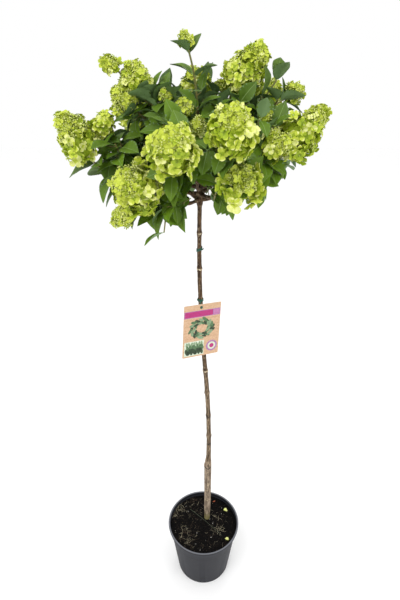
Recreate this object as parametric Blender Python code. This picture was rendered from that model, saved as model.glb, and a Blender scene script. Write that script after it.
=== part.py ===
"""Panicle hydrangea trained as a small standard tree in its nursery pot.

One bare trunk stands in a pot of compost and carries a short head of boughs. Each bough holds one
mass: a forking stem, its shoots with leaves in crossed pairs, and the flower panicles at their tips.
Metres, +Z up. The origin is the middle of the pot's flat underside; -Y is the side seen in front.
"""

import math
import random

import bmesh
import bpy
from mathutils import Matrix, Vector
from mathutils.bvhtree import BVHTree

# Gaps between solids that touch in life
SEAT_GAP = 0.0003

# Nursery pot
POT_HEIGHT = 0.207
POT_RIM_RADIUS = 0.1125
POT_FOOT_RADIUS = 0.0845
POT_WALL = 0.0022
POT_FLOOR = 0.0030
POT_COLLAR_HEIGHT = 0.021
POT_COLLAR_STEP = 0.0028
POT_COLLAR_SLOPE = 0.0020
POT_COLLAR_FLARE = 0.0006
POT_LIP = 0.0024
POT_LIP_DEPTH = 0.0052
POT_LIP_SLOPE = 0.0008
POT_LIP_ROUNDING = 0.0010
POT_FOOT_ROUNDING = 0.0015
POT_SIDES = 32
DRAIN_COUNT = 8
DRAIN_TURN = 42.0
DRAIN_WIDTH = 0.017
DRAIN_HEIGHT = 0.0065
DRAIN_DEPTH = 0.014
DRAIN_BELOW = 0.002
DRAIN_SIDES = 5

# Compost
COMPOST_LEVEL = 0.1905
COMPOST_DIP = 0.0035
COMPOST_DIP_RADIUS = 0.060
COMPOST_SEAT_RADIUS = 0.036
COMPOST_SIDE_GAP = 0.00045
COMPOST_EDGE = 0.0030
COMPOST_EDGE_DROP = 0.0010

# Trunk: its middle and radius at guide points, from the flat foot on the compost to the head that
# carries the boughs. The thick foot ends in a knee, where the stem takes over.
TRUNK_LINE = (
    Vector((0.0114, 0.0235, 0.1925)),
    Vector((0.0124, 0.0220, 0.2620)),
    Vector((0.0125, 0.0190, 0.4480)),
    Vector((0.0140, 0.0180, 0.5000)),
    Vector((0.0137, 0.0180, 0.5900)),
    Vector((0.0086, 0.0180, 0.7300)),
    Vector((-0.0020, 0.0180, 0.8800)),
    Vector((-0.0112, 0.0180, 1.0600)),
    Vector((-0.0128, 0.0180, 1.1900)),
    Vector((-0.0110, 0.0180, 1.3220)),
)
TRUNK_RADII = (0.0088, 0.0102, 0.0107, 0.0070, 0.0064, 0.0060, 0.0057, 0.0053, 0.0048, 0.0046)
TRUNK_FOOT, TRUNK_TOP = TRUNK_LINE[0], TRUNK_LINE[-1]
TRUNK_SIDES = 8
TRUNK_JOINT_HEIGHTS = (0.578, 0.657, 0.740, 0.816, 0.915, 1.000, 1.113, 1.200)
TRUNK_JOINT_SWELL = 0.0010
TRUNK_JOINT_REACH = 0.0075
TRUNK_JOINT_SPREAD = 1.4
HEAD_LOW = 1.2700
HEAD_RADIUS = 0.0068
HEAD_RISE = 0.0130
HEAD_TAPER = 0.0030
HEAD_TOP_SHARE = 0.80

# Boughs: four tiers round the trunk's head, and one that carries on from its top
TIER_HEIGHTS = {"first": 1.2765, "second": 1.2895, "third": 1.3025, "fourth": 1.3140}
BOUGH_FOOT_RADIUS = 0.0040
BOUGH_TIP_RADIUS = 0.0030
BOUGH_SIDES = 6
BOUGH_STATIONS = 7
BOUGH_COLLAR = 0.0030
BOUGH_EASE = 0.34
BOUGH_LIFT = Vector((0.0, 0.0, 0.83))
BOUGH_RIPPLE = 0.08
BOUGH_RIPPLE_RATE = 19.0

# Shoots and side twigs
STEM_TAPER = (0.96, 0.85)
STEM_SIDES = 6
SHOOT_FOOT_RADIUS = 0.0024
SHOOT_TIP_RADIUS = 0.0017
SHOOT_SIDES = 3
SHOOT_STATION = 0.030
SHOOT_ONWARDS = 0.5
SHOOT_LEAVE_EASE = 0.28
SHOOT_ARRIVE_EASE = 0.38
FORK_START = 0.0060
FORK_STEP = 0.0055
NODE_SPACING = 0.035
NODE_SPREAD = 0.12
FIRST_PAIR = 0.011
LAST_PAIR = 0.020
PAIR_OFFSET = 0.0016
TWIG_LENGTH = 0.050
TWIG_LENGTH_SPREAD = 0.20
TWIG_CHANCE = 0.50
TWIG_REACH = 0.85
TWIG_RADII = (0.0018, 0.0016, 0.0014)
TWIG_SIDEWAYS = 0.80
TWIG_ONWARDS = 0.60
TWIG_RISES = (Vector((0.0, 0.0, 0.15)), Vector((0.0, 0.0, 0.20)))
TWIG_BARE = 0.30
TWIG_SPACING = 0.60
TWIG_GUARD = 1.5

# Leaves: corners are shares of length, half width and length, forth, out and up from the foot
LEAF_LENGTH = 0.070
LEAF_WIDTH = 0.040
LEAF_THICKNESS = 0.0016
LEAF_THICKEST = 0.16
LEAF_CORNERS = (
    (-0.011, 0.0, 0.0),
    (0.38, 1.0, 0.085),
    (0.71, 0.76, 0.055),
    (1.0, 0.0, 0.0),
    (0.71, -0.76, 0.055),
    (0.38, -1.0, 0.085),
)
LEAF_SIZES = {"first": 0.95, "small_shoot": 0.72, "twig": 0.80, "full": 1.0}
LEAF_SIZE_STEP = 0.12
LEAF_SIZE_SPREAD = 0.10
LEAF_WIDTH_SPREAD = 0.08
LEAF_DROOP_TOP = 0.10
LEAF_DROOP_LOW = 0.95
LEAF_DROOP_SPREAD = 0.40
LEAF_DROOP_BIAS = 0.30
DROOP_HEIGHTS = (1.30, 1.48)
LEAF_SIDEWAYS = 0.86
LEAF_LEAN = 0.50
LEAF_TIP_LEAN = 1.00
LEAF_LOOKS_UP = Vector((0.0, 0.0, 0.75))
LEAF_LOOKS_OUT = 0.50
LEAF_LOOKS_ASIDE = 0.70
LEAF_TRIES = 7
TRY_LEAN = 0.16
TRY_SHRINK = 0.05
TRY_TURNS = (0.50, 0.25)
GUARD_THICKNESS = 0.0026
GUARD_START = 0.18
GUARD_SPREAD = 1.04

# Panicles: shares of the greatest radius, and the knobs that stand for groups of florets
PANICLE_SHOULDER = 0.28
PANICLE_FOOT_SHARE = 0.42
PANICLE_FALL = 0.80
PANICLE_FALL_POWER = 1.5
PANICLE_ROOT = 0.004
PANICLE_CORE = 0.35
PANICLE_SMALL = 0.045
BIG_RADIUS = 0.030
KNOB_ROWS = {"big": (6, 8), "small": (4, 6)}
KNOB_SPAN = (0.05, 0.95)
KNOB_OUT = 0.96
KNOB_IN = 0.74
KNOB_SPREAD = 0.12
PANICLE_CLEAR = (-0.04, 1.02, 0.97)
PANICLE_SHOWN = 1.5

# The crown's space, and how far a mass may reach into that of its neighbour
CROWN_MIDDLE = Vector((-0.011, 0.018, 1.370))
CROWN_BOTTOM = 1.236
CROWN_TOP = 1.598
SPACE_SLACK = 0.012
SKIRT_START = 0.020
SKIRT_RISE = 0.64
SKIRT_FALL = 0.31
FORK_HALF_WIDTH = 0.021
FORK_HIGH = 1.296
FORK_RISE = 0.32
CROWN_SEED = 61

# Each mass: its bough's tier and compass, the bough's tip, and its shoots. A shoot ends at the foot
# of a panicle, given by its middle, the way its axis points, its length and its greatest radius.
# A leafy shoot has no panicle and a length of 0. Compass 0 is +X and 270 is the front.


def panicle(x, y, z, compass, rise, length, radius, seed):
    shoot = {"middle": Vector((x, y, z)), "compass": compass, "rise": rise}
    return shoot | {"length": length, "radius": radius, "seed": seed}


def leafy(x, y, z, compass, rise, seed):
    return panicle(x, y, z, compass, rise, 0.0, 0.0, seed)


MASSES = {
    "left": {
        "tier": "second",
        "compass": 190,
        "tip": (-0.080, 0.002, 1.328),
        "shoots": [
            panicle(-0.238, -0.045, 1.417, 200, 62, 0.100, 0.036, 202),
            panicle(-0.193, -0.020, 1.434, 30, 60, 0.044, 0.023, 43),
            leafy(-0.178, -0.062, 1.350, 215, -8, 20),
            leafy(-0.165, 0.035, 1.372, 165, 5, 205),
        ],
    },
    "lower_left": {
        "tier": "first",
        "compass": 236,
        "tip": (-0.050, -0.042, 1.296),
        "shoots": [
            leafy(-0.138, -0.060, 1.312, 200, -10, 168),
            panicle(-0.127, -0.124, 1.345, 236, 30, 0.102, 0.047, 116),
            panicle(-0.158, -0.114, 1.286, 215, -18, 0.044, 0.021, 181),
            leafy(-0.076, -0.120, 1.290, 258, -20, 189),
        ],
    },
    "front": {
        "tier": "third",
        "compass": 262,
        "tip": (-0.018, -0.052, 1.346),
        "shoots": [
            panicle(-0.056, -0.188, 1.429, 262, 40, 0.104, 0.046, 152),
            panicle(0.041, -0.172, 1.455, 288, 50, 0.102, 0.048, 240),
            panicle(-0.014, -0.098, 1.446, 255, 70, 0.036, 0.016, 209),
            leafy(-0.074, -0.085, 1.440, 235, 45, 209),
        ],
    },
    "lower_right": {
        "tier": "second",
        "compass": 296,
        "tip": (0.022, -0.042, 1.308),
        "shoots": [
            leafy(0.108, -0.082, 1.330, 325, 0, 9),
            panicle(0.066, -0.142, 1.364, 300, 32, 0.086, 0.040, 158),
            leafy(0.012, -0.112, 1.314, 268, -15, 206),
        ],
    },
    "right": {
        "tier": "first",
        "compass": 4,
        "tip": (0.060, 0.012, 1.320),
        "shoots": [
            panicle(0.182, -0.018, 1.420, 4, 42, 0.116, 0.042, 116),
            panicle(0.131, -0.060, 1.406, 325, 25, 0.054, 0.027, 36),
            leafy(0.158, 0.024, 1.344, 5, -5, 139),
            leafy(0.104, -0.038, 1.446, 330, 50, 248),
        ],
    },
    "upper_right": {
        "tier": "third",
        "compass": 36,
        "tip": (0.046, 0.052, 1.376),
        "shoots": [
            panicle(0.080, 0.050, 1.519, 12, 54, 0.110, 0.041, 171),
            leafy(0.138, 0.044, 1.510, 15, 62, 238),
            panicle(0.172, 0.046, 1.482, 20, 30, 0.040, 0.018, 242),
            leafy(0.062, -0.028, 1.478, 300, 50, 159),
        ],
    },
    "upper_left": {
        "tier": "third",
        "compass": 160,
        "tip": (-0.066, 0.030, 1.378),
        "shoots": [
            panicle(-0.133, 0.022, 1.503, 150, 74, 0.066, 0.034, 61),
            panicle(-0.176, 0.012, 1.532, 190, 40, 0.034, 0.016, 184),
            panicle(-0.152, -0.020, 1.476, 200, 42, 0.050, 0.022, 249),
            leafy(-0.074, -0.024, 1.478, 250, 60, 26),
        ],
    },
    "top": {
        "tier": "crown",
        "compass": 90,
        "tip": (-0.012, 0.022, 1.380),
        "shoots": [
            panicle(-0.021, 0.102, 1.480, 98, 66, 0.088, 0.039, 129),
            panicle(-0.038, 0.004, 1.572, 200, 70, 0.026, 0.013, 140),
            panicle(-0.042, -0.030, 1.466, 250, 72, 0.034, 0.015, 63),
            leafy(0.024, 0.050, 1.484, 45, 65, 136),
            leafy(-0.058, 0.056, 1.468, 150, 60, 73),
        ],
    },
    "back_left": {
        "tier": "first",
        "compass": 126,
        "tip": (-0.066, 0.084, 1.324),
        "shoots": [
            panicle(-0.160, 0.150, 1.440, 140, 38, 0.116, 0.046, 230),
            panicle(-0.110, 0.192, 1.350, 122, 10, 0.096, 0.043, 245),
            leafy(-0.174, 0.100, 1.356, 160, 0, 127),
            leafy(-0.100, 0.100, 1.462, 130, 55, 25),
        ],
    },
    "back": {
        "tier": "fourth",
        "compass": 94,
        "tip": (-0.014, 0.094, 1.358),
        "shoots": [
            panicle(-0.016, 0.226, 1.428, 94, 36, 0.116, 0.047, 208),
            leafy(0.036, 0.164, 1.462, 75, 45, 240),
            leafy(-0.006, 0.186, 1.318, 88, -20, 44),
        ],
    },
    "back_right": {
        "tier": "second",
        "compass": 56,
        "tip": (0.048, 0.086, 1.330),
        "shoots": [
            panicle(0.128, 0.158, 1.444, 48, 38, 0.118, 0.046, 36),
            panicle(0.098, 0.196, 1.345, 62, 6, 0.092, 0.041, 70),
            leafy(0.172, 0.092, 1.360, 22, 2, 111),
            leafy(0.094, 0.100, 1.460, 45, 55, 210),
        ],
    },
}

# Ties and the hanging label
TIE_HEIGHTS = {"tie_upper": 1.1620, "tie_lower": 1.0310}
TIE_BAND = 0.0065
TIE_THICKNESS = 0.0014
TIE_SLANT = {"tie_upper": 24.0, "tie_lower": 0.0}
TIE_SLACK = 0.00042
TIE_SIDES = 12
TONGUE_RADIUS = 0.0016
TONGUE_SIDES = 8
TONGUE_DROP = 0.0120
TONGUE_ASIDE = 0.0020
TONGUE_STRAIGHT = 0.0024
TONGUE_BEHIND = 0.0045
TONGUE_EASE = 0.0030
KNOB_RADIUS = 0.0036
KNOB_DEPTHS = (0.0008, 0.0022, 0.0034)
KNOB_TIP_SHARE = 0.5
LABEL_WIDTH = 0.0960
LABEL_HEIGHT = 0.1400
LABEL_THICKNESS = 0.0010
LABEL_CORNER = 0.0025
LABEL_CORNER_STEPS = 3
LABEL_HOLE_RADIUS = 0.0020
LABEL_HOLE_SIDES = 12
LABEL_HOLE_INSET = 0.0080
LABEL_HOLE_ASIDE = 0.0037
LABEL_LEAN = 5.0
LABEL_TURN = 24.0
LABEL_ROLL = 5.2
LABEL_STAND_OFF = 0.0105

COLOURS = {
    "pot_plastic": ((0.035, 0.037, 0.043), 0.45),
    "compost": ((0.020, 0.014, 0.010), 0.95),
    "bark": ((0.150, 0.095, 0.058), 0.85),
    "foliage": ((0.060, 0.160, 0.035), 0.55),
    "tie_plastic": ((0.015, 0.090, 0.055), 0.50),
    "label_card": ((0.780, 0.520, 0.330), 0.45),
}


def clear_scene():
    for thing in list(bpy.data.objects):
        bpy.data.objects.remove(thing)


def material(name):
    made = bpy.data.materials.get(name)
    if made is None:
        colour, roughness = COLOURS[name]
        made = bpy.data.materials.new(name)
        made.use_nodes = True
        shader = made.node_tree.nodes["Principled BSDF"]
        shader.inputs["Base Color"].default_value = (*colour, 1.0)
        shader.inputs["Roughness"].default_value = roughness
        shader.inputs["Metallic"].default_value = 0.0
        made.diffuse_color = (*colour, 1.0)
    return made


def add_object(name, points, faces, finish, collection=None):
    mesh = bpy.data.meshes.new(name)
    mesh.from_pydata([tuple(p) for p in points], [], faces)
    mesh.validate()
    mesh.materials.append(material(finish))
    thing = bpy.data.objects.new(name, mesh)
    (collection or bpy.context.scene.collection).objects.link(thing)
    return thing


def smooth(thing, angle=40.0):
    thing.data.shade_smooth()
    thing.data.set_sharp_from_angle(angle=math.radians(angle))


def compass_direction(compass, rise):
    around, up = math.radians(compass), math.radians(rise)
    return Vector((math.cos(around) * math.cos(up), math.sin(around) * math.cos(up), math.sin(up)))


def curve_point(ends, share):
    """A point at this share of a cubic curve through four guide points."""
    a, b, c, d = ends
    rest = 1.0 - share
    return a * rest**3 + b * (3 * rest**2 * share) + c * (3 * rest * share**2) + d * share**3


def curve_points(ends, count):
    return [curve_point(ends, i / (count - 1)) for i in range(count)]


def crosswise(direction):
    """Two unit vectors that stand square to a direction and to each other."""
    helper = Vector((0, 0, 1)) if abs(direction.z) < 0.9 else Vector((1, 0, 0))
    across = direction.cross(helper).normalized()
    return across, across.cross(direction).normalized()


def tube(path, radii, sides):
    """Points and faces of a closed tube along a path, with flat ends, carried without twist."""
    points, faces = [], []
    across = None
    for i, place in enumerate(path):
        ahead = (path[min(i + 1, len(path) - 1)] - path[max(i - 1, 0)]).normalized()
        if across is None:
            across = crosswise(ahead)[0]
        across = (across - ahead * across.dot(ahead)).normalized()
        aside = ahead.cross(across)
        for k in range(sides):
            turn = 2 * math.pi * k / sides
            points.append(place + (across * math.cos(turn) + aside * math.sin(turn)) * radii[i])
    for i in range(len(path) - 1):
        for k in range(sides):
            low, high = i * sides, (i + 1) * sides
            after = (k + 1) % sides
            faces.append((low + k, low + after, high + after, high + k))
    faces.append(tuple(reversed(range(sides))))
    faces.append(tuple(range((len(path) - 1) * sides, len(path) * sides)))
    return points, faces


def turned(profile, sides):
    """Points and faces of a closed shape turned about Z from a list of (radius, height)."""
    points, faces, rows = [], [], []
    for radius, height in profile:
        if radius == 0.0:
            rows.append([len(points)] * sides)
            points.append(Vector((0, 0, height)))
            continue
        rows.append(list(range(len(points), len(points) + sides)))
        for k in range(sides):
            turn = 2 * math.pi * k / sides
            points.append(Vector((radius * math.cos(turn), radius * math.sin(turn), height)))
    for low, high in zip(rows, rows[1:]):
        for k in range(sides):
            after = (k + 1) % sides
            corners = []
            for index in (low[k], low[after], high[after], high[k]):
                if index not in corners:
                    corners.append(index)
            if len(corners) > 2:
                faces.append(tuple(corners))
    return points, faces


# Pot and compost


def pot_radius(height):
    """The outer radius of the pot's body at a height."""
    body_top = POT_RIM_RADIUS - POT_LIP - POT_COLLAR_STEP
    return POT_FOOT_RADIUS + (body_top - POT_FOOT_RADIUS) * height / POT_HEIGHT


def add_drain_cutter(i, notches):
    """One arched bar that cuts a drain notch through the pot's foot edge."""
    outwards = compass_direction(DRAIN_TURN + 360.0 / DRAIN_COUNT * i, 0.0)
    aside = Vector((-outwards.y, outwards.x, 0.0))
    section = [(-DRAIN_WIDTH / 2, -DRAIN_BELOW), (DRAIN_WIDTH / 2, -DRAIN_BELOW)]
    for k in range(1, DRAIN_SIDES):
        turn = math.pi * k / DRAIN_SIDES
        section.append((DRAIN_WIDTH / 2 * math.cos(turn), DRAIN_HEIGHT * math.sin(turn)))
    inner = outwards * (POT_FOOT_RADIUS - DRAIN_DEPTH)
    near = [inner + aside * u + Vector((0, 0, v)) for u, v in section]
    far = [point + outwards * (DRAIN_DEPTH * 2) for point in near]
    count = len(section)
    walls = [(k, (k + 1) % count, count + (k + 1) % count, count + k) for k in range(count)]
    ends = [tuple(reversed(range(count))), tuple(range(count, 2 * count))]
    cutter = add_object(f"drain_{i}", near + far, walls + ends, "pot_plastic", notches)
    cutter.hide_render = True
    cutter.display_type = "WIRE"
    face_outwards(cutter)


def build_pot():
    shoulder = POT_HEIGHT - POT_COLLAR_HEIGHT
    collar = POT_RIM_RADIUS - POT_LIP
    inside_top = collar - POT_WALL
    profile = [
        (0.0, 0.0),
        (POT_FOOT_RADIUS - POT_FOOT_ROUNDING, 0.0),
        (POT_FOOT_RADIUS, POT_FOOT_ROUNDING),
        (pot_radius(shoulder), shoulder),
        (collar - POT_COLLAR_FLARE, shoulder + POT_COLLAR_SLOPE),
        (collar, POT_HEIGHT - POT_LIP_DEPTH - POT_LIP_SLOPE),
        (POT_RIM_RADIUS, POT_HEIGHT - POT_LIP_DEPTH),
        (POT_RIM_RADIUS, POT_HEIGHT - POT_LIP_ROUNDING),
        (POT_RIM_RADIUS - POT_LIP_ROUNDING, POT_HEIGHT),
        (inside_top + POT_LIP_ROUNDING, POT_HEIGHT),
        (inside_top, POT_HEIGHT - POT_LIP_ROUNDING),
        (inside_top - POT_COLLAR_FLARE, shoulder + POT_COLLAR_SLOPE),
        (pot_radius(shoulder) - POT_WALL, shoulder),
        (pot_radius(POT_FLOOR) - POT_WALL, POT_FLOOR),
        (0.0, POT_FLOOR),
    ]
    points, faces = turned(profile, POT_SIDES)
    pot = add_object("pot", points, faces, "pot_plastic")
    notches = bpy.data.collections.new("drain_notches")
    bpy.context.scene.collection.children.link(notches)
    for i in range(DRAIN_COUNT):
        add_drain_cutter(i, notches)
    cut = pot.modifiers.new("drains", "BOOLEAN")
    cut.operation = "DIFFERENCE"
    cut.operand_type = "COLLECTION"
    cut.collection = notches
    cut.solver = "EXACT"
    apply_modifiers(pot)
    remove_collection(notches)
    smooth(pot, 30.0)
    return pot


def build_compost():
    """The block of compost that fills the pot, dished a little, with a level seat for the stem."""
    foot = POT_FLOOR + SEAT_GAP
    shoulder = POT_HEIGHT - POT_COLLAR_HEIGHT
    clear = POT_WALL + COMPOST_SIDE_GAP
    collar_inside = POT_RIM_RADIUS - POT_LIP - clear - POT_COLLAR_FLARE
    profile = [
        (0.0, foot),
        (pot_radius(foot) - clear, foot),
        (pot_radius(shoulder) - clear, shoulder + SEAT_GAP),
        (collar_inside, shoulder + POT_COLLAR_SLOPE + SEAT_GAP),
        (collar_inside, COMPOST_LEVEL - COMPOST_EDGE_DROP),
        (collar_inside - COMPOST_EDGE, COMPOST_LEVEL),
        (COMPOST_DIP_RADIUS, COMPOST_LEVEL - COMPOST_DIP),
        (COMPOST_SEAT_RADIUS, TRUNK_FOOT.z - SEAT_GAP),
        (0.0, TRUNK_FOOT.z - SEAT_GAP),
    ]
    points, faces = turned(profile, POT_SIDES)
    return add_object("compost", points, faces, "compost")


# Trunk and boughs


def trunk_span(height):
    """The guide point below a height, and the share of the way from it to the next one."""
    last = len(TRUNK_LINE) - 2
    below = [i for i, guide in enumerate(TRUNK_LINE[:-1]) if guide.z <= height]
    i = min(last, below[-1]) if below else 0
    low, high = TRUNK_LINE[i].z, TRUNK_LINE[i + 1].z
    return i, (height - low) / (high - low)


def trunk_slope(i):
    """How far the trunk's middle moves aside for each metre up, at a guide point."""
    low, high = TRUNK_LINE[max(i - 1, 0)], TRUNK_LINE[min(i + 1, len(TRUNK_LINE) - 1)]
    return (high - low) / (high.z - low.z)


def trunk_axis(height):
    """The middle of the trunk at a height, on a smooth curve through the guide points."""
    i, share = trunk_span(height)
    low, high = TRUNK_LINE[i], TRUNK_LINE[i + 1]
    rise, rest = high.z - low.z, 1.0 - share
    leave = low + trunk_slope(i) * (rise / 3)
    arrive = high - trunk_slope(i + 1) * (rise / 3)
    place = low * rest**3 + leave * (3 * rest**2 * share) + arrive * (3 * rest * share**2) + high * share**3
    place.z = height
    return place


def trunk_radius(height):
    """Radius of the trunk at a height: eased between guide points, with swollen joints and the head."""
    i, share = trunk_span(height)
    radius = TRUNK_RADII[i] + (TRUNK_RADII[i + 1] - TRUNK_RADII[i]) * share * share * (3 - 2 * share)
    for joint in TRUNK_JOINT_HEIGHTS:
        radius += TRUNK_JOINT_SWELL * math.exp(-(((height - joint) / TRUNK_JOINT_REACH) ** 2))
    swell = min(1.0, max(0.0, (height - HEAD_LOW + HEAD_RISE) / HEAD_RISE))
    return radius + (HEAD_RADIUS - radius) * swell * swell * (3 - 2 * swell)


def trunk_heights():
    """Stations up the trunk: at guide points, ties and head, and three round each swollen joint."""
    heights = {guide.z for guide in TRUNK_LINE}
    heights |= {(low.z + high.z) / 2 for low, high in zip(TRUNK_LINE, TRUNK_LINE[1:4])}
    heights |= set(TIE_HEIGHTS.values())
    heights |= {HEAD_LOW - HEAD_RISE, HEAD_LOW - HEAD_RISE / 2, HEAD_LOW, TRUNK_TOP.z - HEAD_TAPER}
    reach = TRUNK_JOINT_REACH * TRUNK_JOINT_SPREAD
    for joint in TRUNK_JOINT_HEIGHTS:
        heights |= {joint - reach, joint, joint + reach}
    return sorted(heights)


def trunk_stations():
    """The trunk's path and its radius at each station."""
    heights = trunk_heights()
    path = [trunk_axis(height) for height in heights]
    radii = [trunk_radius(height) for height in heights]
    radii[-1] *= HEAD_TOP_SHARE
    return path, radii


def build_trunk():
    points, faces = tube(*trunk_stations(), TRUNK_SIDES)
    for point in points[:TRUNK_SIDES]:
        point.z = TRUNK_FOOT.z
    for point in points[-TRUNK_SIDES:]:
        point.z = TRUNK_TOP.z
    trunk = add_object("trunk", points, faces, "bark")
    smooth(trunk, 60.0)
    return trunk


def bough_foot(mass):
    """Where a bough meets the trunk's head, and the way it leaves."""
    if mass["tier"] == "crown":
        return TRUNK_TOP + Vector((0, 0, SEAT_GAP)), Vector((0, 0, 1))
    height = TIER_HEIGHTS[mass["tier"]]
    outwards = compass_direction(mass["compass"], 0.0)
    return trunk_axis(height) + outwards * (HEAD_RADIUS + SEAT_GAP), outwards


def bough_path(mass):
    """A bough leaves square to the trunk, then bends up to its tip."""
    foot, outwards = bough_foot(mass)
    tip = Vector(mass["tip"])
    start = foot + outwards * BOUGH_COLLAR
    reach = (tip - start).length
    arrive = ((tip - start).normalized() + BOUGH_LIFT).normalized()
    guides = (start, start + outwards * reach * BOUGH_EASE, tip - arrive * reach * BOUGH_EASE, tip)
    return [foot] + curve_points(guides, BOUGH_STATIONS - 1)


def bough_radii():
    last = BOUGH_STATIONS - 1
    radii = []
    for i in range(BOUGH_STATIONS):
        share = i / last
        radius = BOUGH_FOOT_RADIUS + (BOUGH_TIP_RADIUS - BOUGH_FOOT_RADIUS) * share
        radii.append(radius * (1.0 + BOUGH_RIPPLE * math.sin(share * BOUGH_RIPPLE_RATE)))
    return radii


def build_bough(name, mass):
    points, faces = tube(bough_path(mass), bough_radii(), BOUGH_SIDES)
    bough = add_object(f"bough_{name}", points, faces, "bark")
    smooth(bough, 60.0)
    return bough


# Shoots: where they run, and the leaves along them


def mass_stem(mass):
    """The stem of a mass: its foot at the bough's tip, its end, and the way it runs."""
    path = bough_path(mass)
    onwards = (path[-1] - path[-2]).normalized()
    start = path[-1] + onwards * SEAT_GAP
    length = FORK_START + FORK_STEP * len(mass["shoots"])
    return start, start + onwards * length, onwards


def panicle_foot(shoot):
    axis = compass_direction(shoot["compass"], shoot["rise"])
    return shoot["middle"] - axis * (shoot["length"] * 0.5), axis


def shoot_path(mass, shoot):
    """The curve of a shoot, from the axis of the mass's stem to the foot of its panicle."""
    start, end, onwards = mass_stem(mass)
    root = start + onwards * (FORK_START + FORK_STEP * mass["shoots"].index(shoot))
    foot, axis = panicle_foot(shoot)
    reach = (foot - root).length
    leave = (onwards * SHOOT_ONWARDS + (foot - root).normalized()).normalized()
    early = root + leave * reach * SHOOT_LEAVE_EASE
    late = foot - axis * reach * SHOOT_ARRIVE_EASE
    guides = (root, early, late, foot)
    count = max(4, int(reach / SHOOT_STATION) + 1)
    return curve_points(guides, count)


def path_length(path):
    return sum((b - a).length for a, b in zip(path, path[1:]))


def along(path, distance):
    """The point at a distance along a path, and the way the path runs there."""
    for a, b in zip(path, path[1:]):
        step = (b - a).length
        if distance <= step or b is path[-1]:
            return a + (b - a) * (distance / step), (b - a).normalized()
        distance -= step
    return path[-1], (path[-1] - path[-2]).normalized()


def shoot_radius(share):
    return SHOOT_FOOT_RADIUS + (SHOOT_TIP_RADIUS - SHOOT_FOOT_RADIUS) * share


def vary(chance, by):
    """A chance factor from 1 - by to 1 + by."""
    return 1.0 + by * (2.0 * chance.random() - 1.0)


def leaf_ways(place, ahead, sideways, lean, chance):
    """The way a leaf points and the way its upper face looks: low in the crown it hangs more."""
    low, high = DROOP_HEIGHTS
    lift = max(0.0, min(1.0, (place.z - low) / (high - low)))
    droop = LEAF_DROOP_LOW + (LEAF_DROOP_TOP - LEAF_DROOP_LOW) * lift
    droop += LEAF_DROOP_SPREAD * (chance.random() - LEAF_DROOP_BIAS)
    points_to = (sideways * LEAF_SIDEWAYS + ahead * lean).normalized()
    points_to = (points_to - Vector((0, 0, 1)) * droop).normalized()
    outwards = (place - CROWN_MIDDLE).normalized()
    aside = compass_direction(360.0 * chance.random(), 0.0)
    looks = LEAF_LOOKS_UP + outwards * LEAF_LOOKS_OUT + aside * LEAF_LOOKS_ASIDE * chance.random()
    looks = (looks - points_to * looks.dot(points_to)).normalized()
    return points_to, looks


def leaf_outline(place, points_to, looks, length, width):
    """Points round a leaf from its foot: two on each edge, raised above the rib, and its tip."""
    across = points_to.cross(looks).normalized()
    corners = []
    for forth, out, rise in LEAF_CORNERS:
        corner = points_to * (forth * length) + across * (out * width / 2) + looks * (rise * length)
        corners.append(place + corner)
    return corners


def leaf_solid(outline, looks, thickness):
    """Points and faces of one leaf: a blade folded along its rib and thickest near its foot."""
    foot, tip = outline[0], outline[3]
    rib = foot.lerp(tip, LEAF_THICKEST)
    points = [*outline, rib + looks * (thickness / 2), rib - looks * (thickness / 2)]
    faces = []
    for k in range(6):
        after = (k + 1) % 6
        faces += [(k, after, 6), (after, k, 7)]
    return points, faces


def panicle_radius(share):
    """Radius of a panicle at a share of its length, as a share of its greatest radius."""
    if share < PANICLE_SHOULDER:
        rise = math.sin(share / PANICLE_SHOULDER * math.pi / 2)
        return PANICLE_FOOT_SHARE + (1.0 - PANICLE_FOOT_SHARE) * rise
    fall = (share - PANICLE_SHOULDER) / (1.0 - PANICLE_SHOULDER)
    return 1.0 - PANICLE_FALL * fall**PANICLE_FALL_POWER


def panicle_solid(foot, axis, length, radius, chance):
    """Points and faces of a panicle: rows of knobs that stand out in a chequer, as florets do."""
    rows, sides = KNOB_ROWS["big" if radius > BIG_RADIUS else "small"]
    across, aside = crosswise(axis)
    points, faces = [foot - axis * PANICLE_ROOT], []
    low_share, high_share = KNOB_SPAN
    for row in range(rows):
        share = low_share + (high_share - low_share) * row / (rows - 1)
        for k in range(sides):
            turn = 2 * math.pi * k / sides
            out = panicle_radius(share) * radius * (KNOB_OUT if (row + k) % 2 == 0 else KNOB_IN)
            out *= 1.0 - KNOB_SPREAD * chance.random()
            outwards = across * math.cos(turn) + aside * math.sin(turn)
            points.append(foot + axis * (share * length) + outwards * out)
    points.append(foot + axis * length)
    top = len(points) - 1
    for k in range(sides):
        after = (k + 1) % sides
        faces.append((0, 1 + k, 1 + after))
        faces.append((top, top - sides + after, top - sides + k))
    for row in range(rows - 1):
        for k in range(sides):
            after = (k + 1) % sides
            low, high = 1 + row * sides, 1 + (row + 1) * sides
            a, b, c, d = low + k, low + after, high + after, high + k
            if (row + k) % 2 == 0:
                faces += [(a, d, b), (b, d, c)]
            else:
                faces += [(a, d, c), (a, c, b)]
    return points, faces


# The space that each mass keeps to


def segment_distance(point, a, b):
    span = b - a
    share = max(0.0, min(1.0, (point - a).dot(span) / max(span.length_squared, 1e-12)))
    return (point - a - span * share).length


def shoot_tubes(mass):
    """The stem of a mass and its shoots, as points and faces, the stem first."""
    start, end, onwards = mass_stem(mass)
    tubes = [tube([start, end], [BOUGH_TIP_RADIUS * share for share in STEM_TAPER], STEM_SIDES)]
    for shoot in mass["shoots"]:
        path = shoot_path(mass, shoot)
        if shoot["length"]:
            foot, axis = panicle_foot(shoot)
            path = path + [foot + axis * (shoot["length"] * PANICLE_CORE)]
        last = len(path) - 1
        tubes.append(tube(path, [shoot_radius(i / last) for i in range(len(path))], SHOOT_SIDES))
    return tubes


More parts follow.
